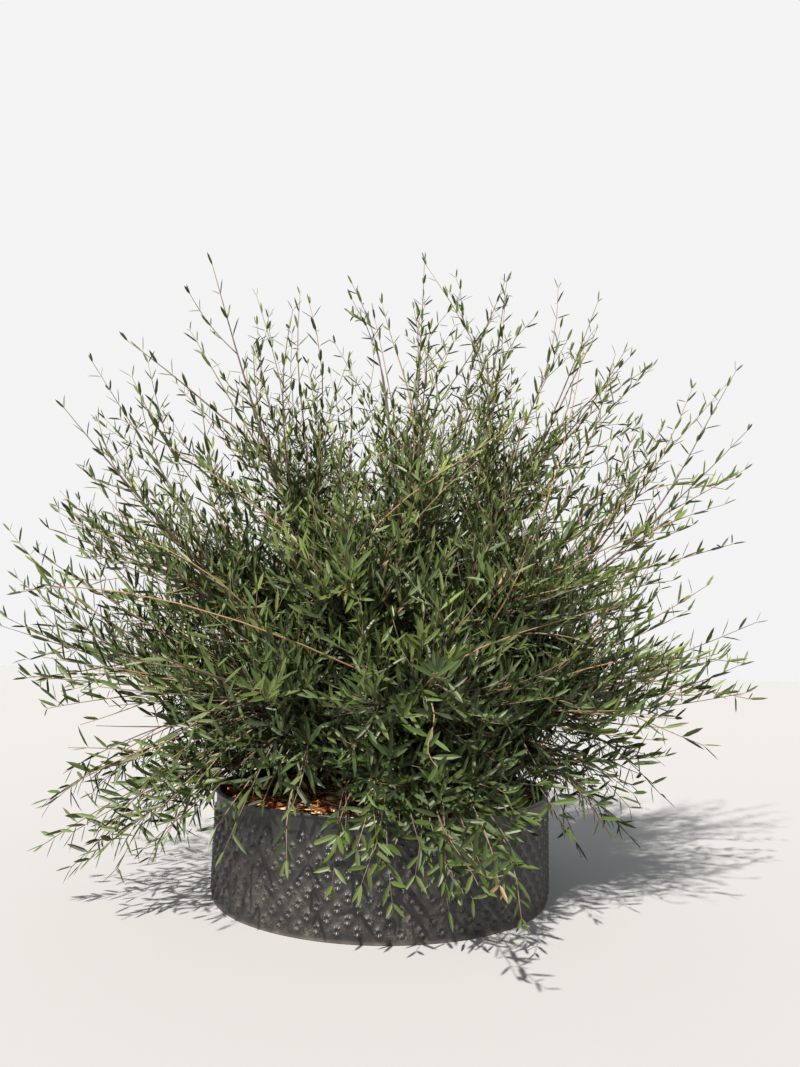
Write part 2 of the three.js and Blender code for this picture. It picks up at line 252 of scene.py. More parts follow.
def closed_rings(rings):
    """A skin over rings (copies, rows, columns, 3) from foot to top, closed at both ends
    by a fan round the middle of the end ring."""
    count, rows, columns = rings.shape[:3]
    hubs = rings[:, [0, -1]].mean(axis=2)
    points = np.concatenate([rings.reshape(count, rows * columns, 3), hubs], axis=1)
    k, last, hub = np.arange(columns), (rows - 1) * columns, rows * columns
    foot = np.stack([0 * k + hub, (k + 1) % columns, k], axis=-1)
    top = np.stack([0 * k + hub + 1, last + k, last + (k + 1) % columns], axis=-1)
    return copies(points, grid_faces(rows, columns), np.concatenate([foot, top]))


def polar(out, turn, height):
    """Points at a distance out from the upright axis, turned round it, at a height."""
    out, turn, height = np.broadcast_arrays(out, turn, height)
    return np.stack([out * np.cos(turn), out * np.sin(turn), height], axis=-1)


def unit(vectors):
    """Each vector divided by its own length."""
    return vectors / np.linalg.norm(vectors, axis=-1, keepdims=True)


def smoothstep(low, high, value):
    """0 below low, 1 above high and 3t² - 2t³ between them."""
    t = np.clip((value - low) / (high - low), 0, 1)
    return t * t * (3 - 2 * t)


# %% [markdown]
# ## The pot wall
#
# The real wall is black recycled polythene sheet, about as stiff as a thick milk jug.
# A heated press has struck rosettes into it: small rings of eight petals, in a
# lattice of squares that stand on their corners, 36 mm from corner to corner. A plain
# band is left above them, and the top edge is turned out into a narrow lip.
#
# A bump pattern would be quicker, but the rosettes break the pot's outline on the left and
# each petal catches the sun, so they are modelled. Each square of the lattice is a small
# fan of rings round its middle. Neighbouring squares share the points on their edges, so
# after merging those the wall is one closed skin.

# %% Pot sizes
POT_RADIUS = 340 * MM
POT_HEIGHT = 206 * MM
WALL_THICKNESS = 5 * MM
LIP_REACH = 3 * MM
INNER_RADIUS = POT_RADIUS - WALL_THICKNESS
ROSETTES_ROUND = 60
ROSETTE_ROWS = 9
PITCH = 2 * np.pi / ROSETTES_ROUND
HALF_SQUARE = 18 * MM
FIRST_ROW = 20 * MM
SPOKES = 24
RINGS = np.array([2.4, 4.7, 6.8, 9.6]) * MM
PETALS = 8
RIDGE_RADIUS, RIDGE_WIDTH = 5.8 * MM, 2.5 * MM
RIDGE_HEIGHT, PETAL_HEIGHT = 3.5 * MM, 1.2 * MM
print("rosettes", round(POT_RADIUS * PITCH / MM, 1), "mm apart")


# %% Rosettes in a lattice
def rosette_height(distance, turn):
    """A round ridge about a hollow middle, cut into petals: a bell curve of the distance
    from the ridge, times a cosine of one wave a petal."""
    ridge = np.exp(-((distance - RIDGE_RADIUS) / RIDGE_WIDTH) ** 2)
    return ridge * (RIDGE_HEIGHT + PETAL_HEIGHT * np.cos(PETALS * turn))


def wall_points(turn, height, outward):
    """Round the pot: radius plus a slow wave that fades towards the base disc."""
    wave = 1.3 * np.sin(3 * turn + 0.6) + 0.8 * np.sin(8 * turn + 2) * np.cos(9 * height)
    radius = POT_RADIUS + outward + wave * MM * (0.2 + 0.8 * height / POT_HEIGHT)
    return polar(radius, turn, height)


def rosette_squares():
    """Every square of the lattice: its middle, its rings and its edge, as one array."""
    spoke = np.arange(SPOKES)
    turn = 2 * np.pi * spoke / SPOKES
    side, step = np.divmod(spoke, SPOKES // 4)
    share = (step / (SPOKES // 4))[:, None]
    corner = np.array([[1, 0], [0, 1], [-1, 0], [0, -1]])
    edge = (corner[side] * (1 - share) + corner[(side + 1) % 4] * share) * HALF_SQUARE
    rings = RINGS[:, None, None] * np.stack([np.cos(turn), np.sin(turn)], axis=-1)
    across = np.concatenate([np.zeros((1, 2)), rings.reshape(-1, 2), edge])
    relief = rosette_height(np.hypot(*across.T), np.arctan2(across[:, 1], across[:, 0]))
    relief[-SPOKES:] = 0
    row, column = every(np.arange(ROSETTE_ROWS), np.arange(ROSETTES_ROUND))
    turns = ((column + row % 2 / 2) * PITCH)[:, None] + across[:, 0] / HALF_SQUARE * PITCH / 2
    heights = (FIRST_ROW + row * HALF_SQUARE)[:, None] + across[:, 1]
    hub = np.stack([0 * spoke, spoke + 1, (spoke + 1) % SPOKES + 1], axis=-1)
    ring_faces = grid_faces(len(RINGS) + 1, SPOKES)[:, ::-1] + 1
    return copies(wall_points(turns, heights, relief), hub, ring_faces)


def zigzag_fill(height, towards):
    """Plain triangles between the outermost squares and a level ring at their tips."""
    row = 0 if towards < 0 else ROSETTE_ROWS - 1
    share = np.linspace(-1, 1, SPOKES // 2 + 1)
    middle = ((np.arange(ROSETTES_ROUND) + row % 2 / 2 + 0.5) * PITCH)[:, None]
    zigzag = height - towards * HALF_SQUARE * (1 - np.abs(share))
    hub, rim = wall_points(middle, height, 0), wall_points(middle + share * PITCH / 2, zigzag, 0)
    k = np.arange(1, len(share))
    fan = np.stack([0 * k, k, k + 1] if towards > 0 else [0 * k, k + 1, k], axis=-1)
    return copies(np.concatenate([hub, rim], axis=1), fan)


def merged(points, faces):
    """Points that fall on the same hundredth of a millimetre become one."""
    rounded = np.round(points / (0.01 * MM))
    _, keep, new = np.unique(rounded, axis=0, return_index=True, return_inverse=True)
    return points[keep], [new.ravel()[face] for face in faces]


# %% [markdown]
# Above the rosettes and below them the wall is a plain ring carried along a profile: up
# the band, out under the lip, over its rounded top, down the inside and back across the
# foot. The grid of that profile has one column for each corner and each gap of the
# lattice, so it too shares its points with the squares.

# %% Pot wall profile
ZONE_LOW = FIRST_ROW - HALF_SQUARE
ZONE_HIGH = FIRST_ROW + ROSETTE_ROWS * HALF_SQUARE
lip, inner = LIP_REACH, -WALL_THICKNESS
rim_profile = np.array([
    [0.0, ZONE_HIGH], [0.2 * MM, 188 * MM], [0.3 * MM, 195 * MM], [0.6 * MM, 199.6 * MM],
    [lip - 0.6 * MM, 200.0 * MM], [lip, 200.8 * MM], [lip + 0.3 * MM, 203 * MM],
    [lip, 205.2 * MM], [lip - 1 * MM, POT_HEIGHT], [1 * MM, POT_HEIGHT],
    [inner + 1 * MM, POT_HEIGHT], [inner, 205 * MM], [inner, 195 * MM], [inner, 120 * MM],
    [inner, 40 * MM], [inner, 0.0], [-2.5 * MM, 0.0], [-0.8 * MM, 0.0], [0.0, 0.6 * MM],
    [0.0, ZONE_LOW],
])
column_turn = np.arange(2 * ROSETTES_ROUND) * PITCH / 2
profile_rings = wall_points(column_turn, rim_profile[:, 1:], rim_profile[:, :1])
wall_mesh, wall_faces = merged(*stacked(
    rosette_squares(), zigzag_fill(ZONE_HIGH, 1), zigzag_fill(ZONE_LOW, -1),
    (profile_rings.reshape(-1, 3), [grid_faces(*profile_rings.shape[:2])])))
print("pot wall:", len(wall_mesh), "points,", ROSETTES_ROUND * ROSETTE_ROWS, "rosettes")

# %% [markdown]
# The finish is recycled black polythene, moulded and then left outdoors. Fresh, it is a
# dark grey-brown with a satin gloss; the sun has chalked it a little, and watering has
# splashed fine soil up from the ground, most of all near the base. So the colour is a
# black plastic under two layers of dust: one in soft patches, one in small spots that
# grow denser towards the floor. Dust is rough, so it takes the gloss away where it lies.

# %% Black polythene with splashed soil
PLASTIC_IOR = 1.51
THIN_DUST = 0.47

polythene, tree, shader = new_material("moulded black polythene", IOR=PLASTIC_IOR)
place = add_node(tree, "TexCoord").outputs["Object"]
height = add_node(tree, "SeparateXYZ", Vector=place).outputs["Z"]
chalk = add_node(tree, "TexNoise", Vector=place, Scale=1 / (60 * MM), Detail=3.0)
plastic = add_node(
    tree, "ValToRGB", Fac=chalk.outputs["Fac"],
    stops=[(0.35, "#121211"), (0.6, "#181817"), (0.75, "#201f1e")])
patches = add_node(
    tree, "TexNoise", Vector=place, Scale=1 / (45 * MM), Detail=6.0, Roughness=0.65)
patch = add_node(tree, "MapRange", Value=patches.outputs["Fac"], From_Min=0.38, From_Max=0.62)
near_floor = add_node(
    tree, "MapRange", Value=height, From_Min=0.0, From_Max=150 * MM, To_Min=1.0, To_Max=0.25)
specks = add_node(
    tree, "TexNoise", Vector=place, Scale=1 / (3.5 * MM), Detail=5.0, Roughness=0.75)
speck = add_node(
    tree, "MapRange", Value=specks.outputs["Fac"], From_Min=0.46, From_Max=0.66, To_Min=0.12)
foot = add_node(
    tree, "MapRange", Value=height, From_Min=0.0, From_Max=8 * MM, To_Min=0.9, To_Max=0.0)
low_patch = add_node(
    tree, "Math", {"operation": "MULTIPLY"}, _0=patch.outputs[0], _1=near_floor.outputs[0])
splashed = add_node(
    tree, "Math", {"operation": "MULTIPLY"}, _0=low_patch.outputs[0], _1=speck.outputs[0])
dust = add_node(
    tree, "Math", {"operation": "MAXIMUM"}, _0=splashed.outputs[0], _1=foot.outputs[0])
thin_dust = add_node(
    tree, "Math", {"operation": "MULTIPLY"}, _0=dust.outputs[0], _1=THIN_DUST).outputs[0]
blotches = add_node(tree, "TexNoise", Vector=place, Scale=1 / (22 * MM), Detail=3.0)
soil = add_node(
    tree, "ValToRGB", Fac=blotches.outputs["Fac"], stops=[(0.4, "#5c554c"), (0.65, "#7d756a")])
wall_colour = add_node(
    tree, "Mix", {"data_type": "RGBA"},
    _0=thin_dust, _6=plastic.outputs["Color"], _7=soil.outputs["Color"])
gloss = add_node(
    tree, "MapRange", Value=thin_dust, From_Min=0.0, From_Max=0.5, To_Min=0.4, To_Max=0.85)
grain = add_node(tree, "TexNoise", Vector=place, Scale=1 / (1.6 * MM), Detail=2.0)
bump = add_node(tree, "Bump", Strength=0.25, Distance=0.3 * MM, Height=grain.outputs["Fac"])
set_inputs(
    shader, Base_Color=wall_colour.outputs[2], Roughness=gloss.outputs[0],
    Normal=bump.outputs["Normal"])

pot_wall = mesh_piece("pot_wall_rosettes", wall_mesh, wall_faces, "pot_plastic", [polythene])
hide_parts("pot_wall")
pot_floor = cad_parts["pot_floor"]
pot_floor.data.materials.clear()
pot_floor.data.materials.append(polythene)

# %% [markdown]
# ## The potting mix
#
# The pot is filled with composted pine bark: chips from a few millimetres to three
# centimetres, rusty brown where they are fresh and grey where they have lain in the sun,
# with fallen leaves and straw among them. The chips on top cast their own shadows, so
# they are real wedges, each a block of eight pushed corners. Under them one uneven
# surface closes the pile, a little higher in the middle than at the wall.

# %% The mix's surface
MIX_CROWN, MIX_EDGE = 202 * MM, 186 * MM
MIX_FLAT = 95 * MM
MIX_FOOT = 6.3 * MM
MIX_RADIUS = INNER_RADIUS - 0.3 * MM
LUMPS = 9
MIX_RINGS, MIX_COLUMNS = 66, 180
BARK_IOR = 1.4


def lumps(x, y, size, deep, seed):
    """Sines in turned directions, each finer and lower than the last, added up."""
    total = np.zeros_like(x)
    for k in range(LUMPS):
        turn, phase = seed + 2.4 * k, seed * 7 + 1.7 * k * k
        wave = size / 1.35 ** k
        along = x * np.cos(turn) + y * np.sin(turn)
        total += np.sin(along * 2 * np.pi / wave + phase) / 1.2 ** k
    return total * deep / 2.5


def mix_height(x, y):
    """Level in the middle, then an even fall to the wall, with lumps all over."""
    fall = np.clip((np.hypot(x, y) - MIX_FLAT) / (MIX_RADIUS - MIX_FLAT), 0, 1)
    level = MIX_CROWN - 2 * MM + (MIX_EDGE - MIX_CROWN) * fall
    return level + lumps(x, y, 90 * MM, 3.2 * MM, 0.4)


out = np.concatenate([
    [MIX_RADIUS - 1 * MM, MIX_RADIUS, MIX_RADIUS], np.linspace(MIX_RADIUS, 3 * MM, MIX_RINGS)])
mix_rings = polar(out[:, None], np.arange(MIX_COLUMNS) * 2 * np.pi / MIX_COLUMNS, 0.0)
mix_rings[..., 2] = mix_height(mix_rings[..., 0], mix_rings[..., 1])
mix_rings[:3, :, 2] = np.array([MIX_FOOT, MIX_FOOT + 1 * MM, MIX_EDGE - 60 * MM])[:, None]

composted_bark, tree, shader = new_material("composted pine bark", Roughness=0.95, IOR=BARK_IOR)
place = add_node(tree, "TexCoord").outputs["Object"]
flakes = add_node(tree, "TexVoronoi", Vector=place, Scale=1 / (7 * MM))
flake = add_node(tree, "SeparateColor", Color=flakes.outputs["Color"])
flake_colour = add_node(
    tree, "ValToRGB", Fac=flake.outputs[0],
    stops=[(0.1, "#2b1c14"), (0.45, "#553624"), (0.75, "#825236"), (0.95, "#a97a4c")])
crumbs = add_node(tree, "TexNoise", Vector=place, Scale=1 / (3 * MM), Detail=3.0)
crumb_colour = add_node(
    tree, "ValToRGB", Fac=crumbs.outputs["Fac"], stops=[(0.35, "#22150f"), (0.65, "#6b4128")])
mix_colour = add_node(
    tree, "Mix", {"data_type": "RGBA"},
    _0=0.45, _6=flake_colour.outputs["Color"], _7=crumb_colour.outputs["Color"])
bump = add_node(tree, "Bump", Strength=0.8, Distance=2 * MM, Height=flakes.outputs["Distance"])
set_inputs(shader, Base_Color=mix_colour.outputs[2], Normal=bump.outputs["Normal"])
mix = mesh_piece("potting_mix_bark", *closed_rings(mix_rings[None]), "bark_mix", [composted_bark])
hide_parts("potting_mix")

# %% [markdown]
# The loose chips are scattered evenly over the top. Most are short and a few are long.
# Each has one of six plain colours, because a pattern would fall on all of them alike, and
# each lies a little tipped, as chips do on a heap.

# %% Chips of bark
CHIPS = 3400
CHIP_TONES = [
    ("rust-brown bark chip", "#985a35", 28), ("orange bark chip", "#bf7d48", 15),
    ("cream wood chip", "#dcbd8c", 15), ("dark wet chip", "#452d20", 18),
    ("red-brown chip", "#74452d", 14), ("sun-greyed chip", "#7f6f60", 10),
]
CUBE = np.array([[x, y, z] for z in (-0.5, 0.5) for y in (-0.5, 0.5) for x in (-0.5, 0.5)])
CUBE_FACES = np.array([
    [0, 2, 3, 1], [4, 5, 7, 6], [0, 1, 5, 4], [1, 3, 7, 5], [3, 2, 6, 7], [2, 0, 4, 6],
])


def plain_materials(tones, roughness, ior):
    """One plain colour for each tone (name, colour, ...), all with the same gloss."""
    return [
        new_material(name, Base_Color=linear(colour), Roughness=roughness, IOR=ior)[0]
        for name, colour, *_ in tones]


def scattered(count, reach, seed):
    """Places spread evenly over a disc: radius is reach x the root of an even draw."""
    draw = np.random.default_rng(seed)
    out, turn = reach * np.sqrt(draw.random(count)), 2 * np.pi * draw.random(count)
    return draw, out * np.cos(turn), out * np.sin(turn)


def dealt(draw, tones, count):
    """A tone number for each of count things, in the tones' shares."""
    shares = np.array([share for _, _, share in tones])
    return draw.choice(len(shares), count, p=shares / sum(shares))


draw, x, y = scattered(CHIPS, MIX_RADIUS - 12 * MM, 7)
length = (6 + 24 * draw.random(CHIPS) ** 2.2) * MM
breadth = 0.25 + 0.4 * draw.random(CHIPS)
size = length[:, None] * np.stack([np.ones(CHIPS), breadth, 0.1 + 0.16 * draw.random(CHIPS)], -1)
corners = (CUBE + 0.26 * (draw.random((CHIPS, 8, 3)) - 0.5)) * size[:, None]
lying = unit(polar(1.0, 2 * np.pi * draw.random(CHIPS), 0.9 * (draw.random(CHIPS) - 0.5)))
tip = 0.9 * (draw.random((CHIPS, 1)) - 0.5)
across = unit(np.cross([0, 0, 1.0], lying) + [0, 0, 1] * tip)
across = unit(across - lying * (across * lying).sum(-1, keepdims=True))
axes = np.stack([lying, across, np.cross(lying, across)], axis=1)
centre = np.stack([x, y, mix_height(x, y) + 1.5 * MM + size[:, 2] * 0.3], axis=-1)
chip_points = centre[:, None] + np.einsum("nki,nij->nkj", corners, axes)
chip_tone = dealt(draw, CHIP_TONES, CHIPS)
mesh_piece(
    "bark_chips", *copies(chip_points, CUBE_FACES), "bark_mix",
    plain_materials(CHIP_TONES, 0.9, BARK_IOR),
    tones=np.repeat(chip_tone, len(CUBE_FACES)), smooth=False)

# %% [markdown]
# ## The limbs' own rule, written again
#
# The construction model places 24 limbs in five tiers. Each is a bough, from the stool to
# where its mass of foliage starts, and a leader that runs on through the mass to its
# furthest tip. The same rule is written here with whole arrays: one row a limb. A
# drawn curve for each stem would need hundreds of hand-placed points; a rule needs a
# dozen named values, and it lands on the same limbs as the solids do.

# %% The limbs' values
GAP = 0.3 * MM
HEAD_RADIUS = 56 * MM
HEAD_SWELL = 62 * MM
HEAD_CENTRE = np.array([0, 0, MIX_CROWN + 72 * MM])
HEART = np.array([0, 0, 360 * MM])
MASS_START = 225 * MM
DENSE_REACH = 640 * MM
TIP_SWAY = 8
CURVE_PULL = 0.35
TIP_LIFT = 2.4
TIERS = {
    "top": dict(rise=84, lift=2, first=0, reach=[985]),
    "high": dict(rise=58, lift=5, first=356, reach=[1000, 930, 970, 940, 760]),
    "shoulder": dict(rise=32, lift=6, first=3, reach=[985, 860, 840, 930, 840, 640, 730]),
    "middle": dict(rise=7, lift=4, first=180, reach=[790, 660, 560, 650, 800, 760, 780]),
    "skirt": dict(rise=-11, lift=-14, first=14, reach=[600, 620, 640, 480]),
}


def chance(seed):
    """The fraction of sin(seed x 12.9898) x 43758.5453: a number that a seed fixes."""
    value = np.sin(np.asarray(seed, float) * 12.9898) * 43758.5453
    return value - np.floor(value)


def centred(seed):
    """The chance of a seed, less a half."""
    return chance(seed) - 0.5


def direction(bearing, rise):
    """A unit vector from its bearing round +Z and its rise above level, in degrees."""
    rise = np.radians(rise)
    return polar(np.cos(rise), np.radians(bearing), np.sin(rise))


def perpendicular(axis):
    """A level vector square to the axis; for an upright axis, one near +X."""
    across = np.cross(axis, [0, 0, 1])
    across = np.where(np.linalg.norm(across, axis=-1, keepdims=True) < 0.05, [1.0, 0, 0], across)
    return unit(across - axis * (across * axis).sum(-1, keepdims=True))


def leaning(axis, lean, turn):
    """The axis tipped by one angle and turned about itself by another, in radians."""
    side = perpendicular(axis)
    other = np.cross(axis, side)
    lean, turn = np.asarray(lean)[..., None], np.asarray(turn)[..., None]
    return (side * np.cos(turn) + other * np.sin(turn)) * np.sin(lean) + axis * np.cos(lean)


def bezier(controls, t):
    """Cubic curve: the four control points weighted by the Bernstein sums at t."""
    t = np.asarray(t)[..., None]
    a, b, c, d = (controls[..., i, :] for i in range(4))
    return (1 - t) ** 3 * a + 3 * (1 - t) ** 2 * t * b + 3 * (1 - t) * t ** 2 * c + t ** 3 * d


# %% Place the limbs
rows = [(tier, place) for tier, plan in TIERS.items() for place in range(len(plan["reach"]))]
number = np.arange(len(rows))
limb_name = [
    f"{tier}_{place + 1}" if len(TIERS[tier]["reach"]) > 1 else tier for tier, place in rows]
limb_tier = np.array([list(TIERS).index(tier) for tier, _ in rows])
rise, lift = np.array([[TIERS[tier]["rise"], TIERS[tier]["lift"]] for tier, _ in rows], float).T
reach = np.array([TIERS[tier]["reach"][place] for tier, place in rows])[:, None] * MM
bearing = np.array([
    TIERS[tier]["first"] + 360 * place / len(TIERS[tier]["reach"]) for tier, place in rows])
sway = TIP_SWAY * centred(number * 10 + 1)
limb_along = direction(bearing, rise)
mass_start = HEART + limb_along * MASS_START
limb_tip = HEART + direction(bearing + sway, rise + lift) * reach


def limb_curve(foot, foot_along, tip, tip_along):
    """Four control points: the inner two lie CURVE_PULL of the span in from each end."""
    pull = np.linalg.norm(tip - foot, axis=1, keepdims=True) * CURVE_PULL
    return np.stack([foot, foot + foot_along * pull, tip - tip_along * pull, tip], axis=1)


bough_root = unit(mass_start - HEAD_CENTRE)
bough_foot = HEAD_CENTRE + bough_root * (HEAD_RADIUS + GAP)
bough_curve = limb_curve(bough_foot, bough_root, mass_start, limb_along)
leader_foot = mass_start + limb_along * GAP
leader_length = np.linalg.norm(limb_tip - leader_foot, axis=1)
tip_along = direction(bearing + sway, rise + TIP_LIFT * lift)
leader_curve = limb_curve(leader_foot, limb_along, limb_tip, tip_along)
leader_middle = bezier(leader_curve, np.full(len(rows), 0.5))
limb_axis = np.stack([bough_foot, mass_start, leader_middle, limb_tip], axis=1)
print(len(rows), "limbs, the longest leader", round(leader_length.max(), 3), "m")

# %% [markdown]
# ## The stool and the boughs
#
# Nursery shrubs are cut back low once or twice, so the stems leave a short swollen stool.
# Its foot flares where it meets the mix, its waist is fluted, and each bough leaves the
# head from a collar. The construction model cuts the head to a flat pad under each bough.
# Here the same pads are blended into each other, and the skin between them is pushed in
# and out by ridges that run up the stem.
#
# The bark of this shrub is thin and grey-brown, tight on young stems and with shallow
# furrows and paler pores on the old ones. The furrows are in the mesh; the pores and the
# change of colour are in the material.

# %% Bark of the old wood
furrowed_bark, tree, shader = new_material("thin grey-brown bark", Roughness=0.85, IOR=BARK_IOR)
place = add_node(tree, "TexCoord").outputs["Object"]
weather = add_node(tree, "TexNoise", Vector=place, Scale=1 / (26 * MM), Detail=5.0)
bark_colour = add_node(
    tree, "ValToRGB", Fac=weather.outputs["Fac"],
    stops=[(0.3, "#54453a"), (0.5, "#76614f"), (0.7, "#8f7b68")])
pores = add_node(tree, "TexVoronoi", Vector=place, Scale=1 / (5 * MM))
pore = add_node(
    tree, "MapRange", Value=pores.outputs["Distance"],
    From_Min=0.1, From_Max=0.2, To_Min=1.0, To_Max=0.0)
pored = add_node(
    tree, "Mix", {"data_type": "RGBA"},
    _0=pore.outputs[0], _6=bark_colour.outputs["Color"], _7=linear("#b09a80"))
fissures = add_node(tree, "TexNoise", Vector=place, Scale=1 / (2.5 * MM), Detail=5.0)
bump = add_node(tree, "Bump", Strength=0.6, Distance=0.8 * MM, Height=fissures.outputs["Fac"])
set_inputs(shader, Base_Color=pored.outputs[2], Normal=bump.outputs["Normal"])

# %% Stool
STOOL_PROFILE = MM * np.array([
    [86, 196], [84, 202], [66, 207], [55, 215], [46, 231], [49, 242], [57, 253],
])
STOOL_COLUMNS, WAIST_ROWS, HEAD_ROWS = 132, 24, 40
COLLAR_HEIGHT, COLLAR_WIDTH = 3.5 * MM, 0.009

turn = np.arange(STOOL_COLUMNS) * 2 * np.pi / STOOL_COLUMNS
profile_place = np.linspace(0, len(STOOL_PROFILE) - 1, WAIST_ROWS)[:, None]
waist_out, waist_height = (
    np.interp(profile_place, np.arange(len(STOOL_PROFILE)), values) for values in STOOL_PROFILE.T)
rises = np.linspace(np.arctan2(-21, 57), np.radians(86), HEAD_ROWS + 1)[1:, None]
ray = polar(np.cos(rises), turn, np.sin(rises))
facing = np.einsum("rci,li->rcl", ray, bough_root)
pad = np.minimum((HEAD_RADIUS / np.maximum(facing, 0.3)).min(-1), HEAD_SWELL)
collar = COLLAR_HEIGHT * np.exp(-((1 - facing.max(-1)) / COLLAR_WIDTH) ** 2)
head_radius = 0.5 * pad + 0.5 * (HEAD_RADIUS - 1 * MM) + collar
head = HEAD_CENTRE + ray * head_radius[..., None]
stool_rings = np.concatenate([polar(waist_out, turn, waist_height), head])
level_out = unit(stool_rings * [1, 1, 0] + [0, 0, 1e-9])
height = stool_rings[..., 2] / MM
flutes = 2.6 * np.sin(7 * turn + 0.03 * height) * np.exp(-((height - 222) / 22) ** 2)
ridges = 0.7 * np.sin(31 * turn + 2.5 * np.sin(height / 9)) + 0.5 * np.sin(53 * turn - height / 5)
stool_rings = stool_rings + level_out * ((flutes + ridges) * MM)[..., None]
stool = mesh_piece("stool_bark", *closed_rings(stool_rings[None]), "bark", [furrowed_bark])
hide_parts("stool")

# %% [markdown]
# Each bough is a tube along its curve, 16 mm thick at the head and 9 mm at the mass. It
# starts inside its collar, swells a little at the old leaf nodes and has five shallow
# furrows that wind slowly round it. All 24 are rows of one array.

# %% Boughs
BOUGH_STEPS, BOUGH_SIDES = 34, 15
NODE_SPACING = 34 * MM
IN_HEAD = 7 * MM


def spokes_along(paths, sides):
    """Spokes of length 1, square to each path at each point: (paths, points, sides, 3)."""
    heading = unit(np.gradient(paths, axis=1))
    reference = perpendicular(heading[:, :1])
    side = unit(reference - heading * (reference * heading).sum(-1, keepdims=True))
    other = np.cross(heading, side)
    turn = (2 * np.pi * np.arange(sides) / sides)[:, None]
    return side[:, :, None] * np.cos(turn) + other[:, :, None] * np.sin(turn)


share = np.linspace(0, 1, BOUGH_STEPS)
bough_path = bezier(bough_curve[:, None], share[None])
bough_start = bough_path[:, :1] - bough_root[:, None] * IN_HEAD
bough_path = np.concatenate([bough_start, bough_path], axis=1)
bough_span = np.linalg.norm(bough_curve[:, 3] - bough_curve[:, 0], axis=1)[:, None]
run = np.concatenate([[0], share]) * bough_span
base_radius = (8.2 - 3.5 * run / run[:, -1:]) * MM + 2.4 * MM * np.exp(-(run / (9 * MM)) ** 2)
off_node = (run + number[:, None] * 5 * MM) % NODE_SPACING - NODE_SPACING / 2
swell = 0.9 * MM * np.exp(-(off_node / (3.5 * MM)) ** 2)
turn = 2 * np.pi * np.arange(BOUGH_SIDES) / BOUGH_SIDES
winding = turn + run[..., None] * 14 + number[:, None, None]
furrow = 0.45 * MM * np.sin(5 * winding) + 0.25 * MM * np.sin(3 * turn + run[..., None] * 260)
radius = (base_radius + swell)[..., None] + furrow
bough_rings = bough_path[:, :, None] + spokes_along(bough_path, BOUGH_SIDES) * radius[..., None]
boughs = mesh_piece("boughs_bark", *closed_rings(bough_rings), "bark", [furrowed_bark])
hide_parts(*(f"bough_{name}" for name in limb_name))

# %% [markdown]
# A point belongs to the mass whose limb is nearest. Half the difference between its
# distances to the nearest other limb and to its own limb is how deep it lies in that
# space. Twigs use this to keep to their own mass, and everything keeps clear of the pot
# and the ground.

# %% Spaces and clearances
LIMB_MARGIN = 4 * MM
GROUND_CLEARANCE = 30 * MM


def depth_in_space(points, limb):
    """Half of (distance to the nearest other limb - distance to the point's own limb)."""
    a, b = limb_axis[:, :-1].reshape(-1, 3), limb_axis[:, 1:].reshape(-1, 3)
    line = b - a
    share = ((points[:, None] - a) * line).sum(-1) / (line * line).sum(-1)
    nearest = a + line * np.clip(share, 0, 1)[..., None]
    distance = np.linalg.norm(points[:, None] - nearest, axis=-1)
    distance = distance.reshape(len(points), len(rows), 3).min(-1)
    row = np.arange(len(points))
    own = distance[row, limb].copy()
    distance[row, limb] = np.inf
    return (distance.min(1) - own) / 2


def clear_of_pot(points, margin):
    """Above the rim where the pot is below, and above the ground elsewhere."""
    pot_reach = POT_RADIUS + LIP_REACH + margin + LIMB_MARGIN
    over_pot = np.hypot(points[..., 0], points[..., 1]) < pot_reach
    floor_height = np.where(over_pot, POT_HEIGHT + LIMB_MARGIN, GROUND_CLEARANCE)
    return points[..., 2] > margin + floor_height


# %% [markdown]
# ## Stems
#
# Every stem, from a leader to the finest shoot, is one path of points. A stem knows its
# length, its limb and a seed, and a place on it is a share of the way along. Side stems
# start from such places, so a whole order of branching grows in one step, with no loop
# over single twigs.

# %% Stems as rows of arrays
SWAY = 0.1
BRANCH_STEPS, SHOOT_STEPS, LEADER_STEPS = 8, 4, 12
TIP_RUN = 34 * MM
Stems = namedtuple("Stems", "path length limb seed")


def kept(group, keep):
    """The stems or leaves that a mask keeps."""
    return type(group)(*(field[keep] for field in group))


def joined(*groups):
    """Several groups of stems or leaves as one."""
    return type(groups[0])(*(np.concatenate(fields) for fields in zip(*groups)))


def on_stems(stems, which, share):
    """Point and heading at a share of the way along the chosen stems, between path points."""
    steps = stems.path.shape[1] - 1
    place = np.clip(share, 0, 1) * steps
    low = np.minimum(place.astype(int), steps - 1)
    a, b = stems.path[which, low], stems.path[which, low + 1]
    return a + (b - a) * (place - low)[:, None], unit(b - a)


def grown(foot, along, bend, length, limb, seed, steps=BRANCH_STEPS):
    """Stems at foot + length x (along x share + bend x share² + sway). The sway is a wave
    sin(2 pi share) to one side and sin(pi share) to the other, so both ends stay in place."""
    share = np.linspace(0, 1, steps + 1)[:, None]
    foot, along, bend = foot[:, None], along[:, None], bend[:, None]
    side = perpendicular(unit(along))
    other = np.cross(unit(along), side) * centred(seed + 8.8)[:, None, None]
    side = side * centred(seed + 7.7)[:, None, None]
    sway = SWAY * (side * np.sin(2 * np.pi * share) + other * np.sin(np.pi * share))
    path = foot + length[:, None, None] * (along * share + bend * share ** 2 + sway)
    return Stems(path, length, limb, seed)


leader_path = bezier(leader_curve[:, None], np.linspace(0, 1, LEADER_STEPS + 1)[None])
leader_path[:, -1] += unit(leader_path[:, -1] - leader_path[:, -2]) * TIP_RUN
leaders = Stems(leader_path, leader_length, number, number * 1.0)

# %% [markdown]
# The first order starts with the construction model's own forks: a pair every 146 mm
# along a leader, of which the first gives two long whips that reach as far as the leader.
# They keep the same seeds here, so they land on the same places. A branch that would
# leave its own space is tried again shorter, as the rule says.

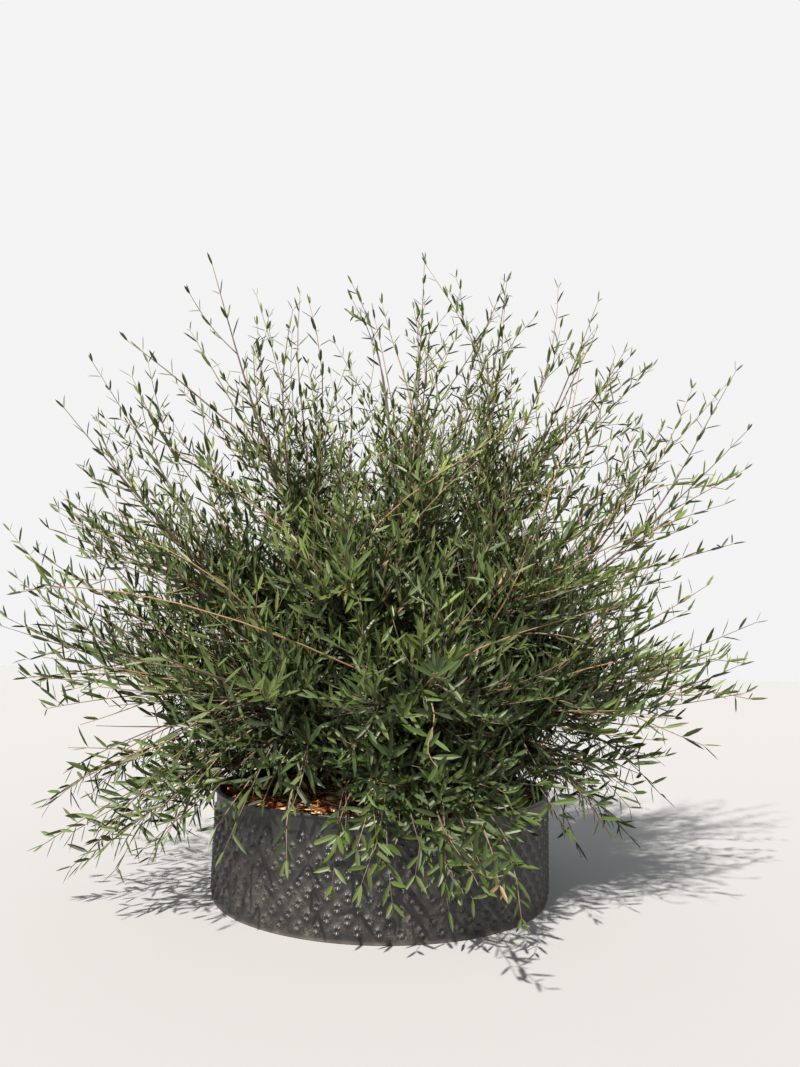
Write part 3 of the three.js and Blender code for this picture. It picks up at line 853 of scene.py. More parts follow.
# %% Branches at the forks
FIRST_FORK = 26 * MM
FORK_SPACING = 146 * MM
FORK_OVERRUN = 60 * MM
SHORTEST_TWIG = 70 * MM
TWIG_SHARES = (1, 0.78, 0.6, 0.45)
BEND = 0.14
SPACE_MARGIN = 4.8 * MM
DENSE_RUN = DENSE_REACH - MASS_START

limb, fork, side = every(number, np.arange(4), [0, 1])
distance = FIRST_FORK + fork * FORK_SPACING
inside = distance < np.minimum(leader_length[limb] - 20 * MM, DENSE_RUN + FORK_OVERRUN)
limb, fork, side, distance = limb[inside], fork[inside], side[inside], distance[inside]
seed = limb * 100.0 + fork * 2 + side + 20
share = distance / leader_length[limb]
foot = bezier(leader_curve[limb], share)
leader_heading = on_stems(leaders, limb, share)[1]
turn = (fork % 2) * np.pi / 2 + 0.5 * centred(limb * 100 + fork) + side * np.pi
along = leaning(leader_heading, np.radians(40 + 10 * centred(seed)), turn)
twig = (DENSE_RUN - distance) * (0.9 + 0.25 * chance(seed + 0.5))
long_whip = (leader_length[limb] - distance) * (0.8 + 0.15 * chance(seed + 0.7))
wanted = np.maximum(np.where(fork < 1, long_whip, twig), SHORTEST_TWIG + 8 * MM)
bend = leader_heading * BEND - along * 0.1

chosen = np.zeros(len(limb))
for share in TWIG_SHARES[::-1]:
    tried = wanted * share
    fits = tried > SHORTEST_TWIG * 0.9
    for point in (foot + along * tried[:, None] / 2, foot + (along + bend) * tried[:, None]):
        fits &= (depth_in_space(point, limb) > SPACE_MARGIN) & clear_of_pot(point, 2.8 * MM)
    chosen[fits] = tried[fits]
forks = kept(grown(foot, along, bend, chosen, limb, seed), chosen > 0)
print(len(forks.length), "branches at the forks,", round(forks.length.sum(), 1), "m of them")

# %% [markdown]
# A real limb forks many times between those places. If every extra branch simply left its
# leader at a fixed angle, the crown would show 24 separate plumes. In the photograph it
# closes into one rounded head, because each branch grows towards light, away from its
# neighbours. So the branches between the forks are given goals: directions spread evenly
# over the crown by the golden angle, as the seeds of a sunflower are. Each goal is reached
# from the nearest limb. Four in ten of the branches are whips, which start low on the limb
# and run on to the crown's furthest reach. The rest stop inside the closed part, which
# reaches further at the top of the crown than at its sides, and further still in the few
# directions where the photograph shows full growth. Low down the crown is thin, so both
# stop shorter there, and only four in ten of the goals are used.

# %% The closed part, and branches with a goal
FULL_SIDES = np.array([
    (180, 27, 140, 0.02), (180, 44, -40, 0.01), (180, 53, 60, 0.01), (180, -8, -80, 0.06),
    (180, 61, -80, 0.015), (180, 78, 90, 0.02), (0, 69, 120, 0.03), (0, 80, -80, 0.02),
    (0, 34, -40, 0.04), (0, -8, -70, 0.06),
])


def closed_reach(aim):
    """How far from the heart the closed part goes: 440 mm + 130 mm x the sine of the rise,
    and near each listed side (bearing, rise, extra, spread) also
    extra x exp((cosine off it - 1) / spread)."""
    near = np.exp((aim @ direction(FULL_SIDES[:, 0], FULL_SIDES[:, 1]).T - 1) / FULL_SIDES[:, 3])
    return (440 + 130 * np.clip(aim[:, 2], -0.4, 1) + near @ FULL_SIDES[:, 2]) * MM


def bent_to(tip, foot, start, slack, limb, seed):
    """Stems that leave the foot along start and bend to the tip; slack is their length over
    the straight distance."""
    span = tip - foot
    length = np.linalg.norm(span, axis=1) * slack
    return grown(foot, start, span / length[:, None] - start, length, limb, seed)


def towards(goal, limb, fork_angle, seed):
    """From the limb's leader to the goal: it leaves at the fork angle, a little to one side,
    and bends to its end."""
    away = goal - HEART
    far = np.linalg.norm(away, axis=1)
    middle = unit(on_stems(leaders, limb, np.full(len(limb), 0.5))[0] - HEART)
    off = np.arccos(np.clip((away / far[:, None] * middle).sum(1), -1, 1))
    foot_reach = far * (np.cos(off) - np.sin(off) / np.tan(np.radians(fork_angle)))
    share = np.clip((foot_reach - MASS_START) / leader_length[limb], 0.02, 0.8)
    foot, heading = on_stems(leaders, limb, share)
    ahead = unit(goal - foot)
    aside = 0.8 * perpendicular(ahead) * centred(seed + 5.1)[:, None]
    start = unit(0.5 * heading + 0.8 * ahead + aside - np.array([0, 0, 0.12]))
    return bent_to(goal, foot, start, 1.03, limb, seed)


# %% Branches towards evenly spread goals
GOALS = 640
GOLDEN_ANGLE = 137.508
LOWEST_RISE = -25
WHIP_SHARE = 0.42
LOW_CHANCE = 0.4
NEARBY = 0.05

goal = np.arange(GOALS)
level_sine = 1 - (goal + 0.5) / GOALS * (1 - np.sin(np.radians(LOWEST_RISE)))
aim = direction(
    goal * GOLDEN_ANGLE + 7 * centred(goal + 0.3),
    np.degrees(np.arcsin(level_sine)) + 5 * centred(goal + 0.6))
tip_reach = np.linalg.norm(limb_tip - HEART, axis=1)
closeness = aim @ unit(limb_tip - HEART).T
weight = np.exp((closeness - 1) / NEARBY)
crown_reach = (weight * tip_reach).sum(1) / weight.sum(1)
whip = chance(goal + 0.9) < WHIP_SHARE
low_down = smoothstep(0.2, -0.1, aim[:, 2])
goal_reach = np.where(
    whip, crown_reach * (0.8 + 0.24 * chance(goal + 1.7)) * (1 - 0.14 * low_down),
    closed_reach(aim) * (0.78 + 0.3 * chance(goal + 2.3)))
limb = closeness.argmax(1)
fork_angle = np.where(whip, 15 + 12 * chance(goal + 3.1), 28 + 24 * chance(goal + 3.1))
between = towards(HEART + aim * goal_reach[:, None], limb, fork_angle, goal * 1.37 + 5)
fits = clear_of_pot(between.path, 4 * MM)[:, 2:].all(1) & (between.length > 60 * MM)
fits &= (aim[:, 2] > -0.05) | (chance(goal + 4.7) < LOW_CHANCE)
between, whip = kept(between, fits), whip[fits]
print(len(between.length), "branches between the forks,", whip.sum(), "of them whips")

# %% [markdown]
# The furthest whips give the crown its outline, and no rule would put them where the
# photograph has them. Their tips are listed, in metres, and each grows from the limb that
# points nearest to it. The boughs are leafy too, on their outer halves.

# %% The outline's whips and the boughs' branches
OUTLINE_TIPS = np.array([
    (0.07, 0.05, 1.31), (0.26, 0.05, 1.35), (0.36, -0.08, 1.28), (0.49, 0.10, 1.26),
    (-0.10, 0.08, 1.35), (-0.18, -0.10, 1.22), (-0.32, 0.05, 1.30), (-0.40, -0.05, 1.26),
    (-0.69, 0.05, 1.13), (-0.80, -0.05, 0.72), (-0.84, 0.10, 0.63), (-0.68, -0.10, 0.49),
    (-0.78, 0.05, 0.41), (0.51, -0.10, 1.12), (0.60, 0.05, 1.15), (0.66, -0.05, 1.07),
    (0.78, 0.00, 1.13), (0.80, 0.12, 1.13), (0.77, -0.05, 0.89), (0.78, 0.05, 0.74),
    (0.72, -0.10, 0.47), (0.80, 0.05, 0.41), (0.76, 0.10, 0.48), (0.07, -0.69, 0.46),
    (0.16, -0.67, 0.20), (0.20, 0.82, 0.62), (-0.10, 0.80, 0.50), (-0.77, 0.12, 0.84),
    (-0.63, -0.12, 0.84), (-0.68, -0.18, 0.66), (-0.77, 0.16, 0.60), (-0.67, 0.10, 1.01),
    (-0.60, -0.22, 0.51), (-0.76, 0.12, 0.34), (-0.54, -0.25, 0.86), (-0.50, -0.30, 0.72),
    (-0.75, 0.25, 0.71), (-0.53, -0.28, 0.58), (-0.68, 0.30, 0.51), (-0.69, 0.00, 0.77),
    (-0.65, 0.05, 0.55), (0.64, 0.15, 1.19), (0.49, -0.12, 1.12), (0.44, -0.05, 1.19),
    (0.62, -0.10, 0.58), (0.67, 0.15, 0.52), (0.71, -0.05, 0.49), (0.64, -0.12, 0.41),
    (0.49, -0.20, 0.94), (0.66, 0.20, 0.93), (0.62, -0.10, 0.80), (0.49, -0.25, 0.65),
    (0.68, 0.25, 0.65), (0.55, 0.00, 0.59), (0.71, 0.10, 0.79), (0.53, 0.10, 1.07),
    (0.57, 0.05, 0.96), (0.59, -0.05, 0.98), (0.41, -0.25, 0.87), (0.49, -0.10, 0.84),
    (0.60, 0.10, 0.79), (0.52, -0.20, 0.45), (0.58, 0.10, 0.38), (0.62, 0.00, 0.68),
    (0.15, 0.00, 1.28), (0.16, -0.10, 1.18), (0.15, 0.15, 1.24), (0.23, 0.05, 1.19),
    (0.24, -0.10, 1.23), (0.16, -0.20, 1.06), (0.26, 0.10, 1.15), (-0.13, 0.00, 1.17),
    (-0.09, -0.15, 1.08), (-0.15, 0.15, 1.15), (-0.29, -0.10, 1.17), (-0.24, 0.10, 1.23),
])
outline_number = np.arange(len(OUTLINE_TIPS))
limb = (unit(OUTLINE_TIPS - HEART) @ unit(limb_tip - HEART).T).argmax(1)
fork_angle = 15 + 10 * chance(outline_number + 0.4)
outline = towards(OUTLINE_TIPS, limb, fork_angle, outline_number * 2.9 + 0.7)

limb, place, side = every(number, np.arange(4), [0, 1])
seed = limb * 100 + place * 2 + side + 71.53
share = 0.3 + 0.19 * place
foot = bezier(bough_curve[limb], share)
bough_heading = unit(bezier(bough_curve[limb], share + 0.02) - foot)
turn = place * 1.7 + side * np.pi + limb
along = leaning(bough_heading, np.radians(46 + 24 * centred(seed)), turn)
bend = bough_heading * 0.2 + np.array([0, 0, 0.12])
length = (80 + 110 * chance(seed + 0.5)) * MM
inner = grown(foot, along, bend, length, limb, seed)
inner = kept(inner, clear_of_pot(inner.path, 4 * MM)[:, 2:].all(1))
print(len(outline.length), "whips in the outline and", len(inner.length), "branches on the boughs")

# %% [markdown]
# Some stems have to pass a certain point on their way. In the photograph five whips fan
# out at the top from one fork, and a few long canes cross the front of the crown with
# their smooth tan bark showing between the leaves. Each is listed by its limb, its share
# of the way along that limb's leader, a point that it passes and its tip.

# %% The fork at the top and the canes across the front
FORKED_WHIPS = [
    ("high_1", 0.25, (0.215, -0.02, 1.00), (0.07, -0.05, 1.34)),
    ("high_1", 0.25, (0.215, 0.0, 1.00), (0.13, 0.03, 1.31)),
    ("high_1", 0.27, (0.22, -0.03, 1.00), (0.25, -0.06, 1.30)),
    ("high_1", 0.28, (0.22, 0.02, 1.00), (0.33, 0.04, 1.26)),
    ("high_1", 0.24, (0.21, 0.05, 0.98), (0.19, 0.10, 1.24)),
]
CANES = [
    ("middle_3", 0.25, (-0.30, -0.46, 0.52), (-0.71, -0.20, 0.58)),
    ("middle_3", 0.1, (0.09, -0.47, 0.44), (0.42, -0.42, 0.58)),
    ("shoulder_7", 0.1, (0.22, -0.38, 0.60), (0.37, -0.28, 1.08)),
    ("middle_4", 0.05, (0.33, -0.36, 0.48), (0.52, -0.22, 0.74)),
    ("middle_4", 0.1, (0.40, -0.27, 0.47), (0.74, -0.08, 0.475)),
    ("middle_5", 0.3, (0.55, 0.02, 0.42), (0.77, -0.03, 0.40)),
    ("shoulder_1", 0.35, (0.52, -0.04, 0.80), (0.75, 0.0, 0.855)),
    ("shoulder_6", 0.1, (-0.16, -0.43, 0.65), (-0.50, -0.30, 0.90)),
    ("middle_2", 0.2, (-0.26, -0.44, 0.56), (-0.48, -0.36, 0.68)),
    ("shoulder_6", 0.3, (0.02, -0.43, 0.72), (0.25, -0.42, 0.90)),
]
PASSING = 0.45


def passing(listed):
    """Stems with the bend that takes them through their point at PASSING of the way:
    (PASSING x tip - point) / (length x (PASSING - PASSING²)), all measured from the foot."""
    names, share, via, tip = (np.array(column) for column in zip(*listed))
    limb = np.array([limb_name.index(name) for name in names])
    foot = bezier(leader_curve[limb], share)
    via, tip = via - foot, tip - foot
    length = np.linalg.norm(tip, axis=1) * 1.04
    bend = (PASSING * tip - via) / (length * (PASSING - PASSING ** 2))[:, None]
    seed = limb * 5.7 + np.arange(len(listed))
    return grown(foot, tip / length[:, None] - bend, bend, length, limb, seed)


forked, canes = passing(FORKED_WHIPS), passing(CANES)
longest = round(canes.length.max(), 2)
print(len(forked.length), "forked whips and", len(canes.length), "canes, up to", longest, "m long")

# %% [markdown]
# The crown isn't shut everywhere. A window at the front left shows the mix through a few
# sprays, and a thin place in the crown above it lets the sun reach it. The photograph
# also shows sky deep in the crown in seven places. Each is kept thin as a cone of sight:
# its middle and half sizes, across and up, are for each metre away from the camera.

# %% Openings
WINDOW_LOW, WINDOW_HIGH = np.array([[-0.33, -0.42, 0.17], [-0.05, 0.10, 0.27]])
WINDOW_MIDDLE = np.array([-0.17, -0.19, 0.20])
SUN_GAP = 75 * MM
SKY_GAPS = np.array([
    (-0.325, -0.098, 0.062, 0.034), (-0.012, 0.350, 0.022, 0.026), (0.225, 0.334, 0.026, 0.034),
    (-0.208, 0.378, 0.022, 0.030), (0.207, -0.101, 0.030, 0.024), (0.274, 0.131, 0.020, 0.020),
    (-0.405, -0.150, 0.036, 0.024),
])
GAP_SHARE = 0.16
CROSSING_CHANCE = 0.3


def in_window(points):
    """In the low opening, or within a set distance of the line from its middle to the sun."""
    low_box = ((points > WINDOW_LOW) & (points < WINDOW_HIGH)).all(-1)
    to_sun = SUN_FROM / np.linalg.norm(SUN_FROM)
    away = points - WINDOW_MIDDLE
    run = away @ to_sun
    off = np.linalg.norm(away - run[..., None] * to_sun, axis=-1)
    return low_box | ((off < SUN_GAP) & (run > 0))


def in_gap(points):
    """In a sky gap: ((place - middle) / half size)², added up for across and up, is below 1."""
    far = points[..., 1] - CAMERA_PLACE[1]
    seen = np.stack([points[..., 0] / far, (points[..., 2] - CAMERA_PLACE[2]) / far], axis=-1)
    off = ((seen[..., None, :] - SKY_GAPS[:, :2]) / SKY_GAPS[:, 2:]) ** 2
    return (off.sum(-1) < 1).any(-1)


def opening_share(points, window_share):
    """The share of growth that stays: window_share in the window, GAP_SHARE in a sky gap."""
    return np.where(in_window(points), window_share, 1) * np.where(in_gap(points), GAP_SHARE, 1)


def thinned(stems, crossing):
    """The stems with only a few of those that cross an opening."""
    return kept(stems, ~crossing | (chance(stems.seed + 0.8) < CROSSING_CHANCE))


branches = joined(forks, between, outline, forked, inner)
watched = branches.path[:, [5, 7]]
crossing = (in_window(watched) | in_gap(watched)).any(1)
branches = thinned(branches, crossing)
print(crossing.sum(), "branches run through an opening")

# %% [markdown]
# Low branches fill the pot's mouth and droop over its rim, lowest at the front right and
# at the back. Their weight pulls the longest of them down past the rim: some hang in
# front of the wall and others make a low cluster on the left. Those tips are listed.

# %% Branches over the rim, and the drooping ones
RIM_BRANCHES = 150
CURTAIN_BEARING, CURTAIN_HALF = 283, 27
BACK_BEARING, BACK_HALF = 100, 80
RIM_OUT, RIM_HIGH = [0.25, 0.34, 0.38, 0.48], [0.29, 0.27, 0.23, 0.16]
DROOPING_TIPS = np.array([
    (-0.03, -0.43, 0.12), (0.02, -0.44, 0.095), (0.055, -0.43, 0.135), (-0.075, -0.42, 0.115),
    (-0.005, -0.41, 0.15), (-0.15, -0.41, 0.15), (-0.26, -0.36, 0.15), (0.115, -0.43, 0.155),
    (0.20, -0.41, 0.12), (0.225, -0.42, 0.07), (0.16, -0.42, 0.15), (0.10, -0.44, 0.13),
    (-0.66, -0.08, 0.17), (-0.64, -0.14, 0.19), (-0.57, -0.15, 0.07), (-0.62, -0.20, 0.12),
    (-0.66, -0.02, 0.22), (-0.54, -0.28, 0.16), (-0.47, -0.24, 0.09), (-0.60, 0.05, 0.20),
    (-0.56, -0.10, 0.24), (-0.44, -0.34, 0.20), (-0.50, -0.30, 0.12), (-0.64, 0.10, 0.16),
    (0.54, -0.15, 0.22), (0.41, -0.25, 0.17), (0.52, -0.10, 0.25), (0.47, -0.18, 0.20),
    (0.58, 0.00, 0.27), (-0.38, -0.32, 0.15), (-0.42, -0.26, 0.13), (-0.40, -0.30, 0.19),
    (-0.36, -0.34, 0.17),
])


def off_bearing(bearings, middle):
    """How far bearings lie from a middle one, in degrees, either way round."""
    return np.abs((bearings - middle + 180) % 360 - 180)


def nearest_low_limb(bearings):
    """The limb of the two lowest tiers whose bearing is nearest."""
    low = np.flatnonzero(limb_tier >= 3)
    return low[off_bearing(bearings[:, None], bearing[low]).argmin(1)]


def droop(foot, tip, limb, seed):
    """From the foot to the tip, level at first, then falling."""
    return bent_to(tip, foot, unit((tip - foot) * [1, 1, 0.12]), 1.06, limb, seed)


place = np.arange(len(DROOPING_TIPS))
limb = nearest_low_limb(np.degrees(np.arctan2(DROOPING_TIPS[:, 1], DROOPING_TIPS[:, 0])) % 360)
foot = bezier(bough_curve[limb], 0.45 + 0.5 * chance(place + 0.3))
drooping = droop(foot, DROOPING_TIPS, limb, place * 4.3)

place = np.arange(RIM_BRANCHES)
rim_bearing = (place + 0.7 * chance(place + 0.9)) * 360 / RIM_BRANCHES
limb = nearest_low_limb(rim_bearing)
foot = bezier(bough_curve[limb], 0.35 + 0.6 * chance(place + 0.2))
further = chance(place + 0.4)
out = np.where(place % 2, 0.25 + 0.09 * further, 0.38 + 0.10 * further)
high = np.interp(out, RIM_OUT, RIM_HIGH)
high += 0.05 * chance(place + 0.6)
high -= 0.05 * (off_bearing(rim_bearing, CURTAIN_BEARING) < CURTAIN_HALF) * (place % 2 == 0)
high -= 0.055 * (off_bearing(rim_bearing, BACK_BEARING) < BACK_HALF)
rim = droop(foot, polar(out, np.radians(rim_bearing), high), limb, place * 1.9)
rim = thinned(rim, in_window(rim.path[:, 5:]).any(1))
print(len(drooping.length), "drooping and", len(rim.length), "rim branches")

# %% [markdown]
# The second order: shoots in opposite pairs along every branch and leader, each pair
# turned a quarter from the last. They are long near a branch's foot and short near its
# tip. Growth that has come out of the crown this year has hardly branched, so few shoots
# are kept outside the closed part, which gives the open, feathery edge of the crown.

# %% Shoots
SHOOT_PLACES = 24
SHOOT_SPACING = 36 * MM
SHOOT_ANGLE, SHOOT_SPREAD = 50, 56
OPEN_CHANCE, CLOSED_CHANCE = 0.045, 0.95
THIN_PATCH = 170 * MM


def thin_patches(points):
    """0 in full growth and 1 in thin patches: the product of three slow sines, cut high."""
    x, y, z = (points * 2 * np.pi / THIN_PATCH + np.array([0.4, 2.1, 4.0])).T
    return smoothstep(-0.05, 0.25, np.sin(x + np.sin(z)) * np.sin(y) * np.sin(z + np.sin(x)))


def side_shoots(stems, first, spacing, longest, window_share=0.2):
    """Pairs of shoots on stems; far from the heart and in the openings only a few are kept."""
    which, place, side = every(np.arange(len(stems.length)), np.arange(SHOOT_PLACES), [0, 1])
    seed = stems.seed[which] * 7.31 + place * 2.17 + side * 0.61
    distance = first + (place + 0.5 * centred(seed + 3)) * spacing
    left = stems.length[which] - distance
    foot, heading = on_stems(stems, which, distance / stems.length[which])
    away = foot - HEART
    closed = closed_reach(unit(away))
    open_part = smoothstep(closed - 230 * MM, closed + 80 * MM, np.linalg.norm(away, axis=1))
    likely = CLOSED_CHANCE + (OPEN_CHANCE - CLOSED_CHANCE) * open_part
    likely = likely * (1 - 0.9 * thin_patches(foot)) * opening_share(foot, window_share)
    keep = (left > 20 * MM) & (chance(seed + 1) < likely)
    which, place, side, seed, left, foot, heading = (
        a[keep] for a in (which, place, side, seed, left, foot, heading))
    turn = stems.seed[which] + place * np.pi / 2 + side * np.pi + 0.5 * centred(seed + 4)
    along = leaning(heading, np.radians(SHOOT_ANGLE + SHOOT_SPREAD * centred(seed + 5)), turn)
    length = np.clip(left * (0.3 + 0.4 * chance(seed + 6)) + 22 * MM, 30 * MM, longest)
    bend = heading * 0.2 + np.array([0, 0, 0.14])
    shoots = grown(foot, along, bend, length, stems.limb[which], seed, SHOOT_STEPS)
    return kept(shoots, clear_of_pot(shoots.path, 3 * MM)[:, 1:].all(1))


crown_shoots = joined(
    side_shoots(leaders, 20 * MM, SHOOT_SPACING, 125 * MM),
    side_shoots(branches, 24 * MM, SHOOT_SPACING, 115 * MM))
low_shoots = joined(
    side_shoots(rim, 16 * MM, 26 * MM, 90 * MM, 0.7),
    side_shoots(drooping, 60 * MM, 40 * MM, 80 * MM, 0.8))
shoots = joined(crown_shoots, low_shoots)
print(len(shoots.length), "shoots,", round(shoots.length.sum(), 1), "m of them")

# %% [markdown]
# ## Leaves
#
# The leaves are narrow lances in opposite pairs, dark and slightly waxy above. They are
# mostly 40 to 60 mm long in the shade low down and 30 to 40 mm towards the top, and
# shorter in the last pairs of each stem. They turn up towards the light, also on stems
# that run level, and on falling stems they turn their faces outwards. Each is folded a
# little along its midrib and curved along its length. A flat card with a picture would be
# cheaper, but from the side it would vanish, and the fold is what gives every leaf its
# bright and its dark half. Eight points and eight faces hold that shape.

# %% One leaf's form, for all leaves at once
Leaves = namedtuple("Leaves", "root along face length width curl limb spray")
LEAF_STATIONS = np.array([0.27, 0.72])
LEAF_HALF_WIDTHS = np.array([0.95, 0.86])
LEAF_FOLD = 0.34
LEAF_FACES = np.array([
    [0, 2, 1], [0, 3, 2], [2, 5, 4], [2, 4, 1], [3, 6, 5], [3, 5, 2], [5, 7, 4], [6, 7, 5],
])


def leaf_points(leaves):
    """Base, two stations of edge, midrib, edge, and tip: the edges are lifted by the
    fold, and the whole leaf leaves its line by curl x length x share²."""
    across = unit(np.cross(leaves.face, leaves.along))
    face = np.cross(leaves.along, across)
    share = np.concatenate([[0], np.repeat(LEAF_STATIONS, 3), [1]])[:, None]
    half = np.concatenate([[0], (LEAF_HALF_WIDTHS[:, None] * [1, 0, -1]).ravel(), [0]])[:, None]
    length, width, curl = (
        field[:, None, None] for field in (leaves.length, leaves.width / 2, leaves.curl))
    out = leaves.root[:, None] + leaves.along[:, None] * length * share
    out = out + across[:, None] * width * half
    return out + face[:, None] * (width * (np.abs(half) * LEAF_FOLD) + length * curl * share ** 2)


# %% [markdown]
# Each stem gets its pairs from the tip backwards. The leaves lean away from the stem, rise
# towards the light and look outwards, all by a different amount, and each spray keeps the
# seed of its stem for its colour.

# %% Leaves in pairs on every stem
LEAF_SPREAD = 52
LEAF_RISE = 0.75
OLD_LEAF_CHANCE = 0.3


def leaf_pairs(stems, spacing, leafy, size, angle, window_share=0.3):
    """Opposite pairs back from each tip, each turned a quarter; behind the leafy end few
    are left."""
    count = np.maximum(((stems.length - 12 * MM) / spacing).astype(int) + 1, 1)
    which = np.repeat(np.arange(len(count)), count)
    pair = np.arange(len(which)) - np.repeat(np.cumsum(count) - count, count)
    which, pair = np.repeat(which, 2), np.repeat(pair, 2)
    side = np.tile([0, 1], len(which) // 2)
    seed = stems.seed[which] * 3.7 + pair * 1.31 + side * 0.173
    root, heading = on_stems(stems, which, 1 - (pair * spacing + 2 * MM) / stems.length[which])
    keep = chance(seed + 9) < np.where(pair * spacing < leafy, 0.95, OLD_LEAF_CHANCE)
    which, pair, side, seed, root, heading = (
        a[keep] for a in (which, pair, side, seed, root, heading))

    lean = np.radians(np.where(pair == 0, angle * 0.65, angle) + LEAF_SPREAD * centred(seed))
    turn = stems.seed[which] * 2.1 + pair * np.pi / 2 + side * np.pi + 0.5 * centred(seed + 2)
    falling = smoothstep(0.1, -0.5, heading[:, 2])[:, None]
    rise = LEAF_RISE * (1 - heading[:, 2:] ** 2) * (1 - falling)
    along = unit(leaning(heading, lean, turn) + np.array([0, 0, 1]) * rise)
    outward = unit(root * [1, 1, 0] + [1e-6, 0, 0]) * (0.15 + falling)
    swing = perpendicular(along) * centred(seed + 6)[:, None]
    face = unit(heading * 0.8 * (1 - falling) + [0, 0, 0.35] + outward + 0.5 * swing)

    low, high = smoothstep(0.5, 0.2, root[:, 2]), smoothstep(0.25, 1.05, root[:, 2])
    length = size * np.clip(0.65 + 0.15 * pair, 0, 1) * (0.82 + 0.36 * chance(seed + 5))
    length = length * (1.15 - 0.33 * high)
    width = (2.0 * MM + length * 0.11) * (0.85 + 0.3 * chance(seed + 8)) * (1 + 0.08 * low)
    curl = 0.02 + 0.26 * (chance(seed + 7) - 0.42)
    leaves = Leaves(root, along, face, length, width, curl, stems.limb[which], stems.seed[which])
    tip = root + along * length[:, None]
    keep = clear_of_pot(tip, 1 * MM) & clear_of_pot((root + tip) / 2, 1 * MM)
    return kept(leaves, keep & (chance(seed + 11) < opening_share(tip, window_share)))


leaves = joined(
    leaf_pairs(crown_shoots, 19 * MM, 90 * MM, 42 * MM, 54),
    leaf_pairs(low_shoots, 19 * MM, 90 * MM, 46 * MM, 52, 0.55),
    leaf_pairs(branches, 36 * MM, 330 * MM, 45 * MM, 52),
    leaf_pairs(canes, 33 * MM, 260 * MM, 45 * MM, 52),
    leaf_pairs(joined(rim, drooping), 24 * MM, 330 * MM, 44 * MM, 55, 0.7),
    leaf_pairs(leaders, 36 * MM, 400 * MM, 45 * MM, 48),
)
branches = joined(branches, rim, drooping)
print(len(leaves.length), "leaves, mean length", round(leaves.length.mean() / MM), "mm")

# %% [markdown]
# A leaf's surface is a waxy skin over green tissue: a mid gloss with an IOR near 1.45. The
# sprays differ more than the leaves of one spray do, so the colours are dealt out by
# spray: most are deep or mid green, some have the bluish bloom of old growth, a few at
# the tips are fresh and yellowish, and one leaf in five hundred has dried. Low sprays draw
# the deeper greens more often and high ones the lighter greens, and near the heart nearly
# all leaves get the dark tones as painted shade. Each tone is a plain colour of its own,
# because a pattern would fall differently on each copy of a leaf.

# %% Leaf tones, dealt out by spray
LEAF_TONES = [
    ("shaded dark leaf", "#1f2a11", 0.04), ("deep green leaf", "#2f3e17", 0.19),
    ("mid green leaf", "#3b4b1d", 0.27), ("olive green leaf", "#465423", 0.24),
    ("bloomed green leaf", "#44542a", 0.12), ("light green leaf", "#526128", 0.12),
    ("fresh yellow-green leaf", "#677534", 0.036), ("dried brown leaf", "#6e553d", 0.0),
]
DRIED = len(LEAF_TONES) - 1
DRIED_CHANCE = 0.002
OWN_TONE_CHANCE = 0.2
WAX_IOR = 1.45

leaf_materials = plain_materials(LEAF_TONES, 0.5, WAX_IOR)
tone_edges = np.cumsum([share for _, _, share in LEAF_TONES])
spray_draw = chance(np.round(leaves.spray * 1.7, 2) + 0.11)
leaf_draw = chance(leaves.root[:, 0] * 977 + leaves.root[:, 2] * 631)
draw = np.where(leaf_draw < OWN_TONE_CHANCE, chance(leaf_draw * 91), spray_draw)
# Painted shade: leaves near the heart are pushed to the darkest tones, standing in for the shade
# inside the crown.
heart_painted_shade = smoothstep(600 * MM, 320 * MM, np.linalg.norm(leaves.root - HEART, axis=1))
leaf_high = leaves.root[:, 2]
draw = draw * (1 - 0.3 * smoothstep(0.55, 0.2, leaf_high)) * (1 - 0.8 * heart_painted_shade)
draw = draw + 0.3 * smoothstep(0.7, 1.1, leaf_high) * (1 - draw)
leaf_tone = np.searchsorted(tone_edges / tone_edges[-1], draw, side="right").clip(0, DRIED - 1)
leaf_tone[leaf_draw > 1 - DRIED_CHANCE] = DRIED
print("leaves of each tone:", np.bincount(leaf_tone))

# %% [markdown]
# The leaves of one tier make one piece. A tier with more than four limbs makes two, with
# every other limb in each, so no piece grows too large.

# %% Leaf pieces
for t, (tier, plan) in enumerate(TIERS.items()):
    halves = 2 if len(plan["reach"]) > 4 else 1
    for odd in range(halves):
        limbs = np.flatnonzero((limb_tier == t) & (number % halves == odd))
        mine = np.isin(leaves.limb, limbs)
        piece = mesh_piece(
            f"leaves_{tier}" + "_odd" * odd, *copies(leaf_points(kept(leaves, mine)), LEAF_FACES),
            "foliage", leaf_materials, np.repeat(leaf_tone[mine], len(LEAF_FACES)), smooth=False)
        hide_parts(*(f"foliage_{limb_name[i]}" for i in limbs))

# %% [markdown]
# ## Twigs
#
# A twig is a tapering tube. The finest ones are about 1 mm thick at their tips, so three
# sides are enough; branches have four, canes five and leaders six. Young shoots are tan or
# reddish, with some green still in them. Wood of two years and more is grey-brown.

# %% Twigs along the stems
TWIG_TONES = [
    ("tan young bark", "#76634d"), ("reddish young bark", "#664e40"),
    ("green-brown young bark", "#56533c"), ("grey-brown older bark", "#5b5047"),
    ("brown older bark", "#5e4e3f"), ("smooth tan cane", "#7a6043"),
]
FIRST_OLDER, CANE_TONE = 3, 5


def tubes(paths, radii, sides):
    """Rings of corners carried along each path, square to it and closed at both ends."""
    return closed_rings(paths[:, :, None] + spokes_along(paths, sides) * radii[..., None, None])


def taper(stems, root, tip):
    """Radii that fall evenly along the path; long stems are thicker at the root."""
    share = np.linspace(0, 1, stems.path.shape[1])[None]
    size = np.clip(stems.length / (300 * MM), 0.6, 1.2)[:, None]
    return (root * size) * (1 - share) + tip * share


